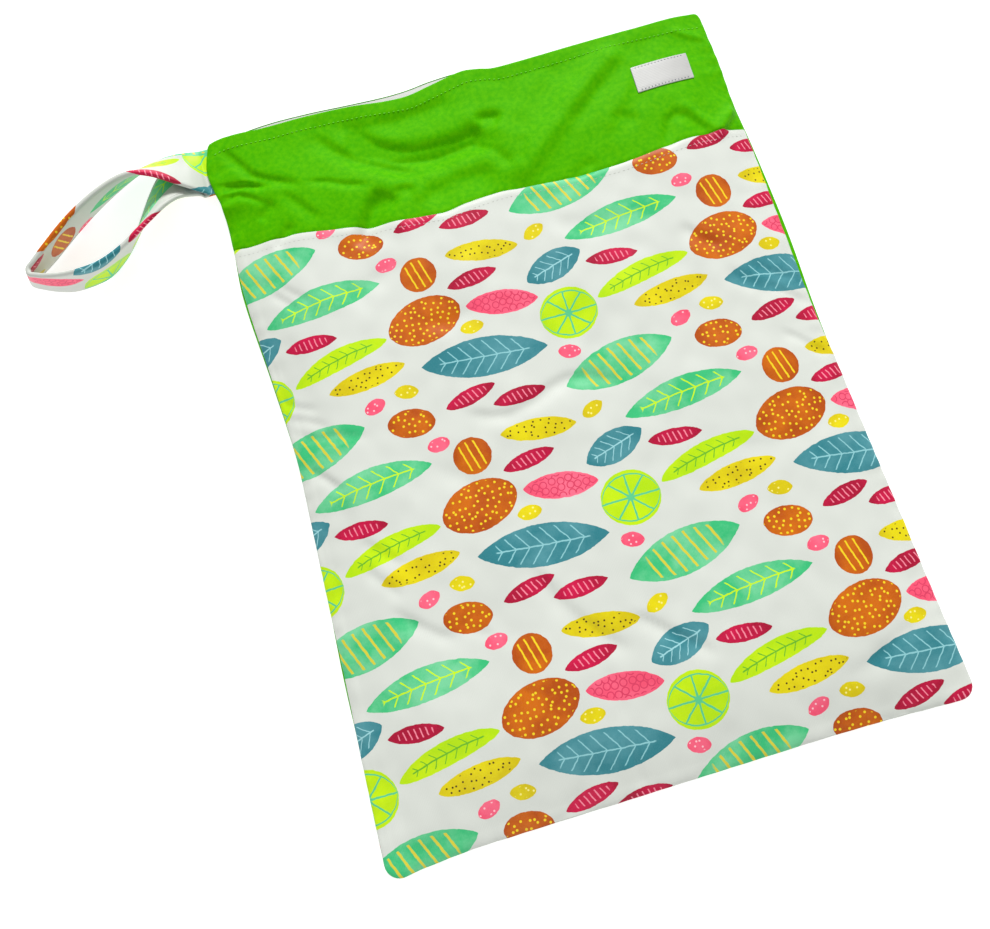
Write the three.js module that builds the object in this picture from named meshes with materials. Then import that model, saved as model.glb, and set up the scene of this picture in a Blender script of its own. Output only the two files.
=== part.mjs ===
// A cloth wet bag lying flat: a knit pouch with a printed front, a plain band and back,
// a blank woven label and a hanging loop whose two ends are sewn into the left side seam.
import * as THREE from 'three';
import { mergeVertices } from 'three/addons/utils/BufferGeometryUtils.js';

const { clamp, lerp, smoothstep } = THREE.MathUtils;

// Driving sizes in millimetres. +X runs across the bag, +Y towards its mouth, +Z up.
const BAG_WIDTH = 298;
const BAG_LENGTH = 401;
const CLOTH = 1.2; // laminated knit with its backing
const SEWN_GAP = 0.3; // clearance between pieces that are sewn together
const PILLOW_HEIGHT = 11.5; // top of the front panel where the bag is fullest
const SHOULDER = 42; // plan width over which the front falls to a seam
const MOUTH_GAP = 5.6; // clear height between the two lips of the mouth
const MOUTH_FALL = 58; // length over which the front sinks towards the mouth
const HEM_DEPTH = 6.3;
const HEM_FOLD = 0.8; // what the turned hem adds to the cloth
const CORNER_RADIUS = 8;
const SEAM_REVEAL = 2.1; // most that the back shows past the front at a side seam
const FOLD_DEPTH = 2.4;
const FOLD_WIDTH = 8;
const LABEL_WIDTH = 34.4;
const LABEL_LENGTH = 16.9;
const LABEL_CLOTH = 0.8;
const LABEL_TURN = 2.6; // degrees that the label is sewn on askew
const LOOP_REACH = 106; // from the side seam to the far end of the loop
const LOOP_WIDTH = 28;
const LOOP_CLOTH = 2.8; // folded strip where it is free
const LOOP_SEWN = 1.5; // the same strip pressed in the seam
const LOOP_REST = 0.5; // middle of the strip's standing edge above the floor
const LOOP_BLEND = 12; // length over which the seam closes again beside the loop

// Places of the label and the loop, in shares of half the width and of the length.
const LABEL_ACROSS = 0.739;
const LABEL_ALONG = 0.413;
const LOOP_ALONG = 0.467;

// Places that follow the sizes above.
const HALF_WIDTH = BAG_WIDTH / 2;
const SEAM_FLOOR = CLOTH + SEWN_GAP;
const MOUTH_TOP = CLOTH + MOUTH_GAP + CLOTH + HEM_FOLD;
const LOOP_STACK = 2 * (LOOP_SEWN + SEWN_GAP);
const LOOP_Y = LOOP_ALONG * BAG_LENGTH;
const LOWER_PLY_Z = SEAM_FLOOR + LOOP_SEWN / 2;
const UPPER_PLY_Z = LOWER_PLY_Z + LOOP_SEWN + SEWN_GAP;
const LABEL = {
  x: LABEL_ACROSS * HALF_WIDTH,
  y: LABEL_ALONG * BAG_LENGTH,
  turn: THREE.MathUtils.degToRad(LABEL_TURN),
};

// Side edges: at is a share of the length from the middle, left and right are shares of
// half the width, and the last two are shares of the seam reveal.
const SIDE_EDGES = [
  { at: -0.5, left: 1.026, right: 1, leftReveal: 0, rightReveal: 0 },
  { at: -0.36, left: 1.01, right: 0.989, leftReveal: 0, rightReveal: 0 },
  { at: -0.26, left: 1.002, right: 0.985, leftReveal: 0.4, rightReveal: 0 },
  { at: -0.16, left: 0.987, right: 0.979, leftReveal: 0, rightReveal: 0 },
  { at: -0.05, left: 0.975, right: 0.976, leftReveal: 0, rightReveal: 0.1 },
  { at: 0.03, left: 0.97, right: 0.976, leftReveal: 0.1, rightReveal: 0.6 },
  { at: 0.14, left: 0.987, right: 0.985, leftReveal: 0.3, rightReveal: 1 },
  { at: 0.27, left: 1.011, right: 0.982, leftReveal: 0.5, rightReveal: 0.5 },
  { at: 0.35, left: 1, right: 0.974, leftReveal: 0, rightReveal: 0.2 },
  { at: 0.405, left: 0.999, right: 0.977, leftReveal: 0, rightReveal: 0 },
  { at: 0.43, left: 1.012, right: 0.977, leftReveal: 0, rightReveal: 0 },
  { at: 0.457, left: 1.021, right: 0.975, leftReveal: 0, rightReveal: 0 },
  { at: 0.48, left: 1.01, right: 0.974, leftReveal: 0, rightReveal: 0 },
  { at: 0.505, left: 0.988, right: 0.973, leftReveal: 0, rightReveal: 0 },
];

// Cross edges: at is a share of half the width, the rest are shares of the length.
const CROSS_EDGES = [
  { at: -1, bottom: -0.507, join: 0.339, lip: 0.4965, backLip: 0.502 },
  { at: -0.93, bottom: -0.504, join: 0.334, lip: 0.5032, backLip: 0.51 },
  { at: -0.77, bottom: -0.5, join: 0.329, lip: 0.499, backLip: 0.5157 },
  { at: -0.6, bottom: -0.4995, join: 0.317, lip: 0.498, backLip: 0.5145 },
  { at: -0.43, bottom: -0.4995, join: 0.3065, lip: 0.4943, backLip: 0.51 },
  { at: -0.29, bottom: -0.4995, join: 0.3, lip: 0.4873, backLip: 0.507 },
  { at: -0.2, bottom: -0.4995, join: 0.2965, lip: 0.4858, backLip: 0.5075 },
  { at: -0.11, bottom: -0.4995, join: 0.3012, lip: 0.4918, backLip: 0.5112 },
  { at: 0.02, bottom: -0.4995, join: 0.3035, lip: 0.5005, backLip: 0.5125 },
  { at: 0.09, bottom: -0.4995, join: 0.3005, lip: 0.497, backLip: 0.508 },
  { at: 0.14, bottom: -0.4995, join: 0.2985, lip: 0.4923, backLip: 0.505 },
  { at: 0.24, bottom: -0.4995, join: 0.2955, lip: 0.4913, backLip: 0.503 },
  { at: 0.5, bottom: -0.4995, join: 0.2945, lip: 0.4923, backLip: 0.503 },
  { at: 0.77, bottom: -0.5015, join: 0.3035, lip: 0.4923, backLip: 0.503 },
  { at: 0.93, bottom: -0.504, join: 0.305, lip: 0.4923, backLip: 0.5 },
  { at: 1, bottom: -0.505, join: 0.303, lip: 0.492, backLip: 0.498 },
];

// Folds of the front: a line from x, y to toX, toY in shares of half the width and of the
// length, its width as a share of the fold width and its rise as a share of the fold depth.
const FOLDS = [
  { x: -0.37, y: 0.426, toX: -0.27, toY: 0.409, width: 0.9, rise: -1 },
  { x: -0.27, y: 0.409, toX: -0.01, toY: 0.394, width: 1, rise: -1 },
  { x: -0.5, y: 0.446, toX: -0.24, toY: 0.376, width: 0.9, rise: 0.6 },
  { x: -0.07, y: 0.381, toX: 0.05, toY: 0.342, width: 0.9, rise: 0.6 },
  { x: -0.34, y: 0.459, toX: -0.07, toY: 0.476, width: 0.7, rise: -0.4 },
  { x: -0.98, y: 0.439, toX: -0.85, toY: 0.419, width: 0.6, rise: -0.9 },
  { x: -0.98, y: 0.419, toX: -0.83, toY: 0.389, width: 0.7, rise: -0.8 },
  { x: -0.93, y: 0.476, toX: -0.66, toY: 0.394, width: 0.8, rise: -0.5 },
  { x: -0.66, y: 0.399, toX: -0.47, toY: 0.371, width: 0.6, rise: -0.6 },
  { x: -0.54, y: 0.309, toX: -0.44, toY: 0.349, width: 0.7, rise: -0.7 },
  { x: 0.12, y: 0.317, toX: 0.32, toY: 0.357, width: 0.9, rise: -0.9 },
  { x: 0.32, y: 0.357, toX: 0.6, toY: 0.451, width: 0.9, rise: -0.9 },
  { x: 0.09, y: 0.334, toX: 0.58, toY: 0.459, width: 0.8, rise: 0.5 },
  { x: 0.25, y: 0.304, toX: 0.65, toY: 0.421, width: 0.9, rise: 0.6 },
  { x: 0.68, y: 0.317, toX: 0.77, toY: 0.344, width: 0.6, rise: -0.5 },
  { x: 0.77, y: 0.344, toX: 0.85, toY: 0.309, width: 0.6, rise: -0.4 },
  { x: 0.84, y: 0.476, toX: 0.96, toY: 0.451, width: 0.7, rise: -0.5 },
  { x: -0.9, y: 0.005, toX: -0.79, toY: -0.055, width: 0.9, rise: -0.7 },
  { x: -0.79, y: -0.055, toX: -0.54, toY: -0.262, width: 1, rise: -0.8 },
  { x: -0.9, y: -0.105, toX: -0.56, toY: -0.249, width: 0.8, rise: -0.5 },
  { x: -0.3, y: -0.202, toX: -0.07, toY: -0.337, width: 0.9, rise: -0.8 },
  { x: -0.07, y: -0.337, toX: -0.14, toY: -0.372, width: 0.8, rise: -0.6 },
  { x: 0.02, y: -0.287, toX: 0.24, toY: -0.372, width: 0.9, rise: -0.5 },
  { x: -0.63, y: 0.005, toX: -0.07, toY: 0.012, width: 0.7, rise: -0.5 },
  { x: -0.07, y: 0.012, toX: 0.19, toY: 0.005, width: 0.8, rise: -0.5 },
  { x: -0.87, y: 0.092, toX: -0.63, toY: 0.03, width: 0.8, rise: -0.5 },
  { x: -0.83, y: 0.274, toX: -0.77, toY: 0.175, width: 0.8, rise: -0.5 },
  { x: 0.63, y: 0.175, toX: 0.81, toY: 0.067, width: 0.9, rise: -0.6 },
  { x: 0.35, y: 0.237, toX: 0.61, toY: 0.2, width: 0.8, rise: -0.4 },
  { x: 0.38, y: -0.372, toX: 0.78, toY: -0.397, width: 0.9, rise: -0.4 },
];

// The loop's strip, from the upper end in the seam round to the lower one. out and along
// place the strip's middle, as shares of the reach from the side seam and from the loop's
// own line. leanX and leanY lead from its standing edge to its other edge, as shares of
// its width. lift is the standing edge's height, as a share of the strip's width, and
// sewn tells how far the strip is still held flat in the seam.
const LOOP_ROWS = [
  { out: -0.066, along: -0.01, leanX: 0, leanY: -1, lift: 0, sewn: 1 },
  { out: 0.022, along: -0.01, leanX: 0, leanY: -1, lift: 0, sewn: 1 },
  { out: 0.09, along: 0.001, leanX: -0.01, leanY: -0.96, lift: 0.17, sewn: 0.45 },
  { out: 0.165, along: 0.026, leanX: -0.01, leanY: -0.87, lift: 0.1, sewn: 0 },
  { out: 0.275, along: 0.052, leanX: 0.03, leanY: -0.68, lift: 0.03, sewn: 0 },
  { out: 0.365, along: 0.046, leanX: 0.07, leanY: -0.51, lift: 0, sewn: 0 },
  { out: 0.46, along: 0.01, leanX: 0.11, leanY: -0.4, lift: 0, sewn: 0 },
  { out: 0.593, along: -0.062, leanX: 0.15, leanY: -0.31, lift: 0, sewn: 0 },
  { out: 0.737, along: -0.163, leanX: 0.19, leanY: -0.24, lift: 0, sewn: 0 },
  { out: 0.869, along: -0.272, leanX: 0.24, leanY: -0.21, lift: 0, sewn: 0 },
  { out: 0.949, along: -0.333, leanX: 0.3, leanY: -0.22, lift: 0, sewn: 0 },
  { out: 0.985, along: -0.353, leanX: 0.35, leanY: -0.25, lift: 0, sewn: 0 },
  { out: 0.981, along: -0.382, leanX: 0.33, leanY: -0.25, lift: 0, sewn: 0 },
  { out: 0.943, along: -0.407, leanX: 0.29, leanY: -0.22, lift: 0, sewn: 0 },
  { out: 0.882, along: -0.435, leanX: 0.24, leanY: -0.18, lift: 0, sewn: 0 },
  { out: 0.78, along: -0.461, leanX: 0.2, leanY: -0.14, lift: 0, sewn: 0 },
  { out: 0.619, along: -0.448, leanX: 0.17, leanY: -0.19, lift: 0, sewn: 0 },
  { out: 0.509, along: -0.386, leanX: 0.22, leanY: -0.29, lift: 0, sewn: 0 },
  { out: 0.41, along: -0.29, leanX: 0.29, leanY: -0.41, lift: 0, sewn: 0 },
  { out: 0.349, along: -0.217, leanX: 0.36, leanY: -0.52, lift: 0.01, sewn: 0 },
  { out: 0.278, along: -0.127, leanX: 0.4, leanY: -0.67, lift: 0.025, sewn: 0 },
  { out: 0.212, along: -0.058, leanX: 0.38, leanY: -0.82, lift: 0.045, sewn: 0 },
  { out: 0.137, along: -0.018, leanX: 0.28, leanY: -0.94, lift: 0.055, sewn: 0.1 },
  { out: 0.06, along: -0.01, leanX: 0.06, leanY: -0.998, lift: 0.045, sewn: 0.6 },
  { out: 0.022, along: -0.01, leanX: 0, leanY: -1, lift: 0, sewn: 1 },
  { out: -0.066, along: -0.01, leanX: 0, leanY: -1, lift: 0, sewn: 1 },
];

// How many cells each cloth is divided into.
const FRONT_CELLS = { across: 36, along: 28 };
const BAND_CELLS = { across: FRONT_CELLS.across, along: 12 }; // they meet along one line
const BACK_CELLS = { across: 18, along: 18 };
const LABEL_CELLS = { across: 8, along: 4 };
const LOOP_CELLS_PER_ROW = 3;
const LOOP_CELLS_ACROSS = 4;
const EDGE_CROWDING = 0.35; // share by which cells are narrower at the side seams
const CORNER_ROWS = 3; // rows of cells that follow the round bottom corners
const LOOP_EDGE_THICKNESS = 0.5; // share of the strip's thickness at its folded edges
const LOOP_EDGE_SHARPNESS = 4; // power that keeps the thinning close to those edges
const LEAN_TENSION = 0.5; // pull of the smooth line through the strip's leans

// One column of a table at a place between its rows, on a smooth line through them.
function readTable(rows, column, at) {
  const last = rows.length - 1;
  const place = clamp(at, rows[0].at, rows[last].at);
  let first = 0;
  while (first < last - 1 && place > rows[first + 1].at) {
    first += 1;
  }
  const slope = (index) => {
    const before = rows[Math.max(index - 1, 0)];
    const after = rows[Math.min(index + 1, last)];
    return (after[column] - before[column]) / (after.at - before.at);
  };
  const span = rows[first + 1].at - rows[first].at;
  const share = (place - rows[first].at) / span;
  const rest = 1 - share;
  const ends = lerp(rows[first][column], rows[first + 1][column], share * share * (3 - 2 * share));
  const bends = share * rest * (rest * slope(first) - share * slope(first + 1));
  return ends + bends * span;
}

// Height of an edge line, such as the bottom or a lip, at a place across the bag.
function crossEdge(column, x) {
  return BAG_LENGTH * readTable(CROSS_EDGES, column, x / HALF_WIDTH);
}

// The bottom corners are round: how far a side edge moves in near the bottom edge.
function cornerInset(x, y) {
  const near = clamp(CORNER_RADIUS - (y - crossEdge('bottom', x)), 0, CORNER_RADIUS);
  return CORNER_RADIUS - Math.sqrt(CORNER_RADIUS ** 2 - near ** 2);
}

// Left and right edge of the back panel at a place along the bag.
function backEdges(x, y) {
  const at = y / BAG_LENGTH;
  const inset = cornerInset(x, y);
  return {
    left: inset - HALF_WIDTH * readTable(SIDE_EDGES, 'left', at),
    right: HALF_WIDTH * readTable(SIDE_EDGES, 'right', at) - inset,
  };
}

// The front is a little narrower than the back where the seam rolls towards it.
function frontEdges(x, y) {
  const at = y / BAG_LENGTH;
  const edges = backEdges(x, y);
  return {
    left: edges.left + SEAM_REVEAL * readTable(SIDE_EDGES, 'leftReveal', at),
    right: edges.right - SEAM_REVEAL * readTable(SIDE_EDGES, 'rightReveal', at),
  };
}

// A full rise from a seam, 0 at the seam and 1 past the shoulder.
function shoulder(distance) {
  return 1 - (1 - clamp(distance / SHOULDER, 0, 1)) ** 3;
}

// How far the two plies of the loop hold the side seam open.
function loopLift(x, y) {
  const reach = LOOP_WIDTH / 2 + LOOP_BLEND;
  const beside = 1 - smoothstep(Math.abs(y - LOOP_Y), reach, reach + LOOP_BLEND);
  return x < 0 ? LOOP_STACK * beside : 0;
}

// Rise at a point of the front: the highest fold that it meets and the deepest one.
function foldRise(x, y) {
  let ridge = 0;
  let valley = 0;
  for (const fold of FOLDS) {
    const start = new THREE.Vector2(fold.x * HALF_WIDTH, fold.y * BAG_LENGTH);
    const run = new THREE.Vector2(fold.toX * HALF_WIDTH, fold.toY * BAG_LENGTH).sub(start);
    const point = new THREE.Vector2(x, y).sub(start);
    const share = clamp(point.dot(run) / run.lengthSq(), 0, 1);
    const away = point.sub(run.multiplyScalar(share)).length() / (fold.width * FOLD_WIDTH);
    const rise = fold.rise * FOLD_DEPTH * Math.exp(-away * away);
    ridge = Math.max(ridge, rise);
    valley = Math.min(valley, rise);
  }
  return ridge + valley;
}

// Outer and inner height of the front, from the side seams to the crest of the pillow.
function frontSection(x, y) {
  const edges = frontEdges(x, y);
  const sides = shoulder(x - edges.left) * shoulder(edges.right - x);
  const share = sides * shoulder(y - crossEdge('bottom', x));
  const lip = crossEdge('lip', x);
  const crest = lerp(PILLOW_HEIGHT, MOUTH_TOP, smoothstep(y, lip - MOUTH_FALL, lip - HEM_DEPTH));
  const calm = 1 - smoothstep(y, lip - 2 * HEM_DEPTH, lip);
  const seam = SEAM_FLOOR + CLOTH + loopLift(x, y);
  const outer = Math.max(lerp(seam, crest, share) + share * calm * foldRise(x, y), seam);
  const hem = HEM_FOLD * sides * smoothstep(y, lip - HEM_DEPTH - CLOTH, lip - HEM_DEPTH);
  return { outer, inner: Math.max(outer - CLOTH - hem, seam - CLOTH) };
}

// A box of unit cells, each vertex moved to its place on a piece of cloth. The place
// function gets shares along the box's three sides, all from 0 to 1.
function clothGeometry(cells, place) {
  const box = new THREE.BoxGeometry(1, 1, 1, cells.across, cells.along, 1);
  box.deleteAttribute('normal');
  box.deleteAttribute('uv');
  const geometry = mergeVertices(box);
  const position = geometry.getAttribute('position');
  const point = new THREE.Vector3();
  for (let index = 0; index < position.count; index += 1) {
    point.fromBufferAttribute(position, index).addScalar(0.5);
    const placed = place(point.x, point.y, point.z);
    position.setXYZ(index, placed.x, placed.y, placed.z);
  }
  geometry.computeVertexNormals();
  return geometry;
}

// Place in plan of a share across a panel, at a height that rowY gives for that place.
function planPlace(across, edgesAt, rowY) {
  const crowded = across - EDGE_CROWDING * Math.sin(2 * Math.PI * across) / (2 * Math.PI);
  const nominal = lerp(-HALF_WIDTH, HALF_WIDTH, crowded);
  const y = rowY(nominal);
  const edges = edgesAt(nominal, y);
  return { x: lerp(edges.left, edges.right, crowded), y };
}

// Rows of a panel that starts at the bottom: the first ones turn round the corners.
function bottomRow(x, along, cells, highLine) {
  const low = crossEdge('bottom', x);
  const row = along * cells.along;
  const turn = Math.min(row / CORNER_ROWS, 1) * Math.PI / 2;
  const rest = Math.max(row - CORNER_ROWS, 0) / (cells.along - CORNER_ROWS);
  const start = low + CORNER_RADIUS * (1 - Math.cos(turn));
  return lerp(start, highLine(x), rest);
}

function cloth(name, geometry, color, roughness) {
  const material = new THREE.MeshStandardMaterial({ color, roughness, metalness: 0 });
  const mesh = new THREE.Mesh(geometry, material);
  mesh.name = name;
  return mesh;
}

// The back lies flat on the floor and reaches a little past the front at the mouth.
function backPanel() {
  const lip = (x) => crossEdge('backLip', x);
  return clothGeometry(BACK_CELLS, (across, along, through) => {
    const { x, y } = planPlace(across, backEdges, (at) => bottomRow(at, along, BACK_CELLS, lip));
    return { x, y, z: CLOTH * through };
  });
}

// A piece of the front, with both faces from the same section.
function frontPiece(cells, rowY) {
  return clothGeometry(cells, (across, along, through) => {
    const { x, y } = planPlace(across, frontEdges, (at) => rowY(at, along));
    const section = frontSection(x, y);
    return { x, y, z: lerp(section.inner, section.outer, through) };
  });
}

function frontPanel() {
  const join = (x) => crossEdge('join', x) - SEWN_GAP / 2;
  return frontPiece(FRONT_CELLS, (x, along) => bottomRow(x, along, FRONT_CELLS, join));
}

function topBand() {
  const join = (x) => crossEdge('join', x) + SEWN_GAP / 2;
  return frontPiece(BAND_CELLS, (x, along) => lerp(join(x), crossEdge('lip', x), along));
}

// The label follows the band under it.
function label() {
  return clothGeometry(LABEL_CELLS, (across, along, through) => {
    const local = new THREE.Vector2((across - 0.5) * LABEL_WIDTH, (along - 0.5) * LABEL_LENGTH);
    local.rotateAround(new THREE.Vector2(0, 0), LABEL.turn);
    const x = LABEL.x + local.x;
    const y = LABEL.y + local.y;
    return { x, y, z: frontSection(x, y).outer + SEWN_GAP + LABEL_CLOTH * through };
  });
}

// The loop's strip: a smooth line through its rows, with the strip turned about it.
function hangingLoop() {
  const middleRow = (LOOP_ROWS.length - 1) / 2;
  const seamX = backEdges(-HALF_WIDTH, LOOP_Y).left;
  const middles = LOOP_ROWS.map((row, index) => {
    const plyHeight = index < middleRow ? UPPER_PLY_Z : LOWER_PLY_Z;
    const freeHeight = LOOP_REST + row.lift * LOOP_WIDTH;
    const height = lerp(freeHeight, plyHeight, row.sewn);
    return new THREE.Vector3(seamX - row.out * LOOP_REACH, LOOP_Y + row.along * LOOP_REACH, height);
  });
  const leans = LOOP_ROWS.map((row) => new THREE.Vector3(row.leanX, row.leanY, row.sewn));
  const middleLine = new THREE.CatmullRomCurve3(middles, false, 'centripetal');
  const leanLine = new THREE.CatmullRomCurve3(leans, false, 'catmullrom', LEAN_TENSION);

  const stripAt = (share) => {
    const lean = leanLine.getPoint(share);
    const upright = Math.sqrt(Math.max(1 - lean.x ** 2 - lean.y ** 2, 0));
    const centre = middleLine.getPoint(share);
    centre.z += upright * LOOP_WIDTH / 2;
    const across = new THREE.Vector3(lean.x, lean.y, upright).normalize();
    return { centre, across, sewn: clamp(lean.z, 0, 1) };
  };

  const cells = { across: LOOP_CELLS_PER_ROW * (LOOP_ROWS.length - 1), along: LOOP_CELLS_ACROSS };
  const step = 0.5 / cells.across;
  return clothGeometry(cells, (share, width, through) => {
    const { centre, across, sewn } = stripAt(share);
    const ahead = stripAt(Math.min(share + step, 1)).centre;
    const behind = stripAt(Math.max(share - step, 0)).centre;
    const face = ahead.sub(behind).cross(across).normalize();
    const offEdge = 1 - Math.abs(2 * width - 1) ** LOOP_EDGE_SHARPNESS;
    const full = lerp(LOOP_CLOTH, LOOP_SEWN, sewn);
    const thickness = full * lerp(LOOP_EDGE_THICKNESS, 1, offEdge);
    return centre
      .addScaledVector(across, (width - 0.5) * LOOP_WIDTH)
      .addScaledVector(face, (through - 0.5) * thickness);
  });
}

const bag = new THREE.Group();
bag.add(cloth('back_panel', backPanel(), '#3fb800', 0.6));
bag.add(cloth('front_panel', frontPanel(), '#eeeeea', 0.65));
bag.add(cloth('top_band', topBand(), '#4fc400', 0.6));
bag.add(cloth('label', label(), '#e6e6e1', 0.7));
bag.add(cloth('hanging_loop', hangingLoop(), '#e8e8e2', 0.65));

export default bag;
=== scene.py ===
"""A cloth wet bag that lies flat: knit panels, a printed front, a label, a loop and its thread."""

import logging
import math
from collections.abc import Callable
from dataclasses import dataclass
from enum import Enum

import bpy
import numpy as np
from mathutils import Matrix, Vector


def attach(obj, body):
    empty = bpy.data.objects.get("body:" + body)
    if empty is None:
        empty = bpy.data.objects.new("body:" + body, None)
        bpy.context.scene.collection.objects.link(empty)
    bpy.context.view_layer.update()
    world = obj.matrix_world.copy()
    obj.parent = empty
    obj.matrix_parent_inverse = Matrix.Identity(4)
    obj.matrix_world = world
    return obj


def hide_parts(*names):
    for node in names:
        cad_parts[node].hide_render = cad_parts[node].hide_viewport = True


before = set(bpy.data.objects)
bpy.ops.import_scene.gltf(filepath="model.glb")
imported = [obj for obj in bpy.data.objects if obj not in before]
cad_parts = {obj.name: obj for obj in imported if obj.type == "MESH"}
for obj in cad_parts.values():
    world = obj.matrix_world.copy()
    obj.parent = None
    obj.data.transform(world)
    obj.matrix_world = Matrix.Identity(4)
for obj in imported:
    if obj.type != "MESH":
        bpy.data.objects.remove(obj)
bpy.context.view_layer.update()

LOG = logging.getLogger("wet bag")
MM = 0.001
ROOT = "root"
MATH = "ShaderNodeMath"
VECTOR = "ShaderNodeVectorMath"
RANGE = "ShaderNodeMapRange"
MIX = "ShaderNodeMix"
NOISE = "ShaderNodeTexNoise"
FULL_TURN = 2 * math.pi

# Columns and rows of stitches of the knit in millimetres, about twice as coarse as real
# ones, so that they can show at all.
WALE = 0.8
COURSE = 0.62

# Side edges: share of the length from the middle, left and right as shares of half the
# width, and how far the back shows past the front, as shares of the seam reveal.
SIDE_EDGES = np.array([
    (-0.5, 1.026, 1, 0, 0), (-0.36, 1.01, 0.989, 0, 0), (-0.26, 1.002, 0.985, 0.4, 0),
    (-0.16, 0.987, 0.979, 0, 0), (-0.05, 0.975, 0.976, 0, 0.1), (0.03, 0.97, 0.976, 0.1, 0.6),
    (0.14, 0.987, 0.985, 0.3, 1), (0.27, 1.011, 0.982, 0.5, 0.5), (0.35, 1, 0.974, 0, 0.2),
    (0.405, 0.999, 0.977, 0, 0), (0.43, 1.012, 0.977, 0, 0), (0.457, 1.021, 0.975, 0, 0),
    (0.48, 1.01, 0.974, 0, 0), (0.505, 0.988, 0.973, 0, 0),
])

# Cross edges: share of half the width, then bottom, join, lip and back lip as shares of
# the length.
CROSS_EDGES = np.array([
    (-1, -0.507, 0.339, 0.4965, 0.502), (-0.93, -0.504, 0.334, 0.5032, 0.51),
    (-0.77, -0.5, 0.329, 0.499, 0.5157), (-0.6, -0.4995, 0.317, 0.498, 0.5145),
    (-0.43, -0.4995, 0.3065, 0.4943, 0.51), (-0.29, -0.4995, 0.3, 0.4873, 0.507),
    (-0.2, -0.4995, 0.2965, 0.4858, 0.5075), (-0.11, -0.4995, 0.3012, 0.4918, 0.5112),
    (0.02, -0.4995, 0.3035, 0.5005, 0.5125), (0.09, -0.4995, 0.3005, 0.497, 0.508),
    (0.14, -0.4995, 0.2985, 0.4923, 0.505), (0.24, -0.4995, 0.2955, 0.4913, 0.503),
    (0.5, -0.4995, 0.2945, 0.4923, 0.503), (0.77, -0.5015, 0.3035, 0.4923, 0.503),
    (0.93, -0.504, 0.305, 0.4923, 0.5), (1, -0.505, 0.303, 0.492, 0.498),
])

# The loop's strip, from its upper end in the seam round to the lower one: out and along
# from the seam in shares of the reach, lean x and y of the strip's width, lift of its
# standing edge as a share of its width, and how far it is still held flat in the seam.
LOOP_ROWS = np.array([
    (-0.066, -0.01, 0, -1, 0, 1), (0.022, -0.01, 0, -1, 0, 1),
    (0.09, 0.001, -0.01, -0.96, 0.17, 0.45), (0.165, 0.026, -0.01, -0.87, 0.1, 0),
    (0.275, 0.052, 0.03, -0.68, 0.03, 0), (0.365, 0.046, 0.07, -0.51, 0, 0),
    (0.46, 0.01, 0.11, -0.4, 0, 0), (0.593, -0.062, 0.15, -0.31, 0, 0),
    (0.737, -0.163, 0.19, -0.24, 0, 0), (0.869, -0.272, 0.24, -0.21, 0, 0),
    (0.949, -0.333, 0.3, -0.22, 0, 0), (0.985, -0.353, 0.35, -0.25, 0, 0),
    (0.981, -0.382, 0.33, -0.25, 0, 0), (0.943, -0.407, 0.29, -0.22, 0, 0),
    (0.882, -0.435, 0.24, -0.18, 0, 0), (0.78, -0.461, 0.2, -0.14, 0, 0),
    (0.619, -0.448, 0.17, -0.19, 0, 0), (0.509, -0.386, 0.22, -0.29, 0, 0),
    (0.41, -0.29, 0.29, -0.41, 0, 0), (0.349, -0.217, 0.36, -0.52, 0.01, 0),
    (0.278, -0.127, 0.4, -0.67, 0.025, 0), (0.212, -0.058, 0.38, -0.82, 0.045, 0),
    (0.137, -0.018, 0.28, -0.94, 0.055, 0.1), (0.06, -0.01, 0.06, -0.998, 0.045, 0.6),
    (0.022, -0.01, 0, -1, 0, 1), (-0.066, -0.01, 0, -1, 0, 1),
])


def linear_colour(code: str) -> tuple[float, float, float, float]:
    """Turn an sRGB hex code into a linear colour.

    Args:
        code: six hex digits after a hash.

    Returns:
        Linear red, green and blue, with a full alpha.
    """
    shares = [int(code[i:i + 2], 16) / 255 for i in (1, 3, 5)]
    linear = [s / 12.92 if s <= 0.04045 else ((s + 0.055) / 1.055) ** 2.4 for s in shares]
    return (*linear, 1.0)


def smooth_step(value: np.ndarray, low: float, high: float) -> np.ndarray:
    """Rise smoothly from 0 at low to 1 at high."""
    share = np.clip((value - low) / (high - low), 0, 1)
    return share * share * (3 - 2 * share)


def read_table(rows: np.ndarray, column: int, at: np.ndarray) -> np.ndarray:
    """Read one column of a table between its rows, on a smooth line through them.

    Args:
        rows: the table, with its first column rising.
        column: which column to read.
        at: places in terms of the first column.

    Returns:
        The column's values at those places.
    """
    ats, values = rows[:, 0], rows[:, column]
    last = len(rows) - 1
    place = np.clip(at, ats[0], ats[-1])
    first = np.clip(np.searchsorted(ats, place) - 1, 0, last - 1)
    before = np.maximum(np.arange(last + 1) - 1, 0)
    after = np.minimum(np.arange(last + 1) + 1, last)
    slopes = (values[after] - values[before]) / (ats[after] - ats[before])
    span = ats[first + 1] - ats[first]
    share = (place - ats[first]) / span
    rest = 1 - share
    ends = values[first] + (values[first + 1] - values[first]) * share ** 2 * (3 - 2 * share)
    return ends + share * rest * (rest * slopes[first] - share * slopes[first + 1]) * span


class Edge(Enum):
    """Columns of the cross edges."""

    BOTTOM = 1
    JOIN = 2
    LIP = 3
    BACK_LIP = 4


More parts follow.
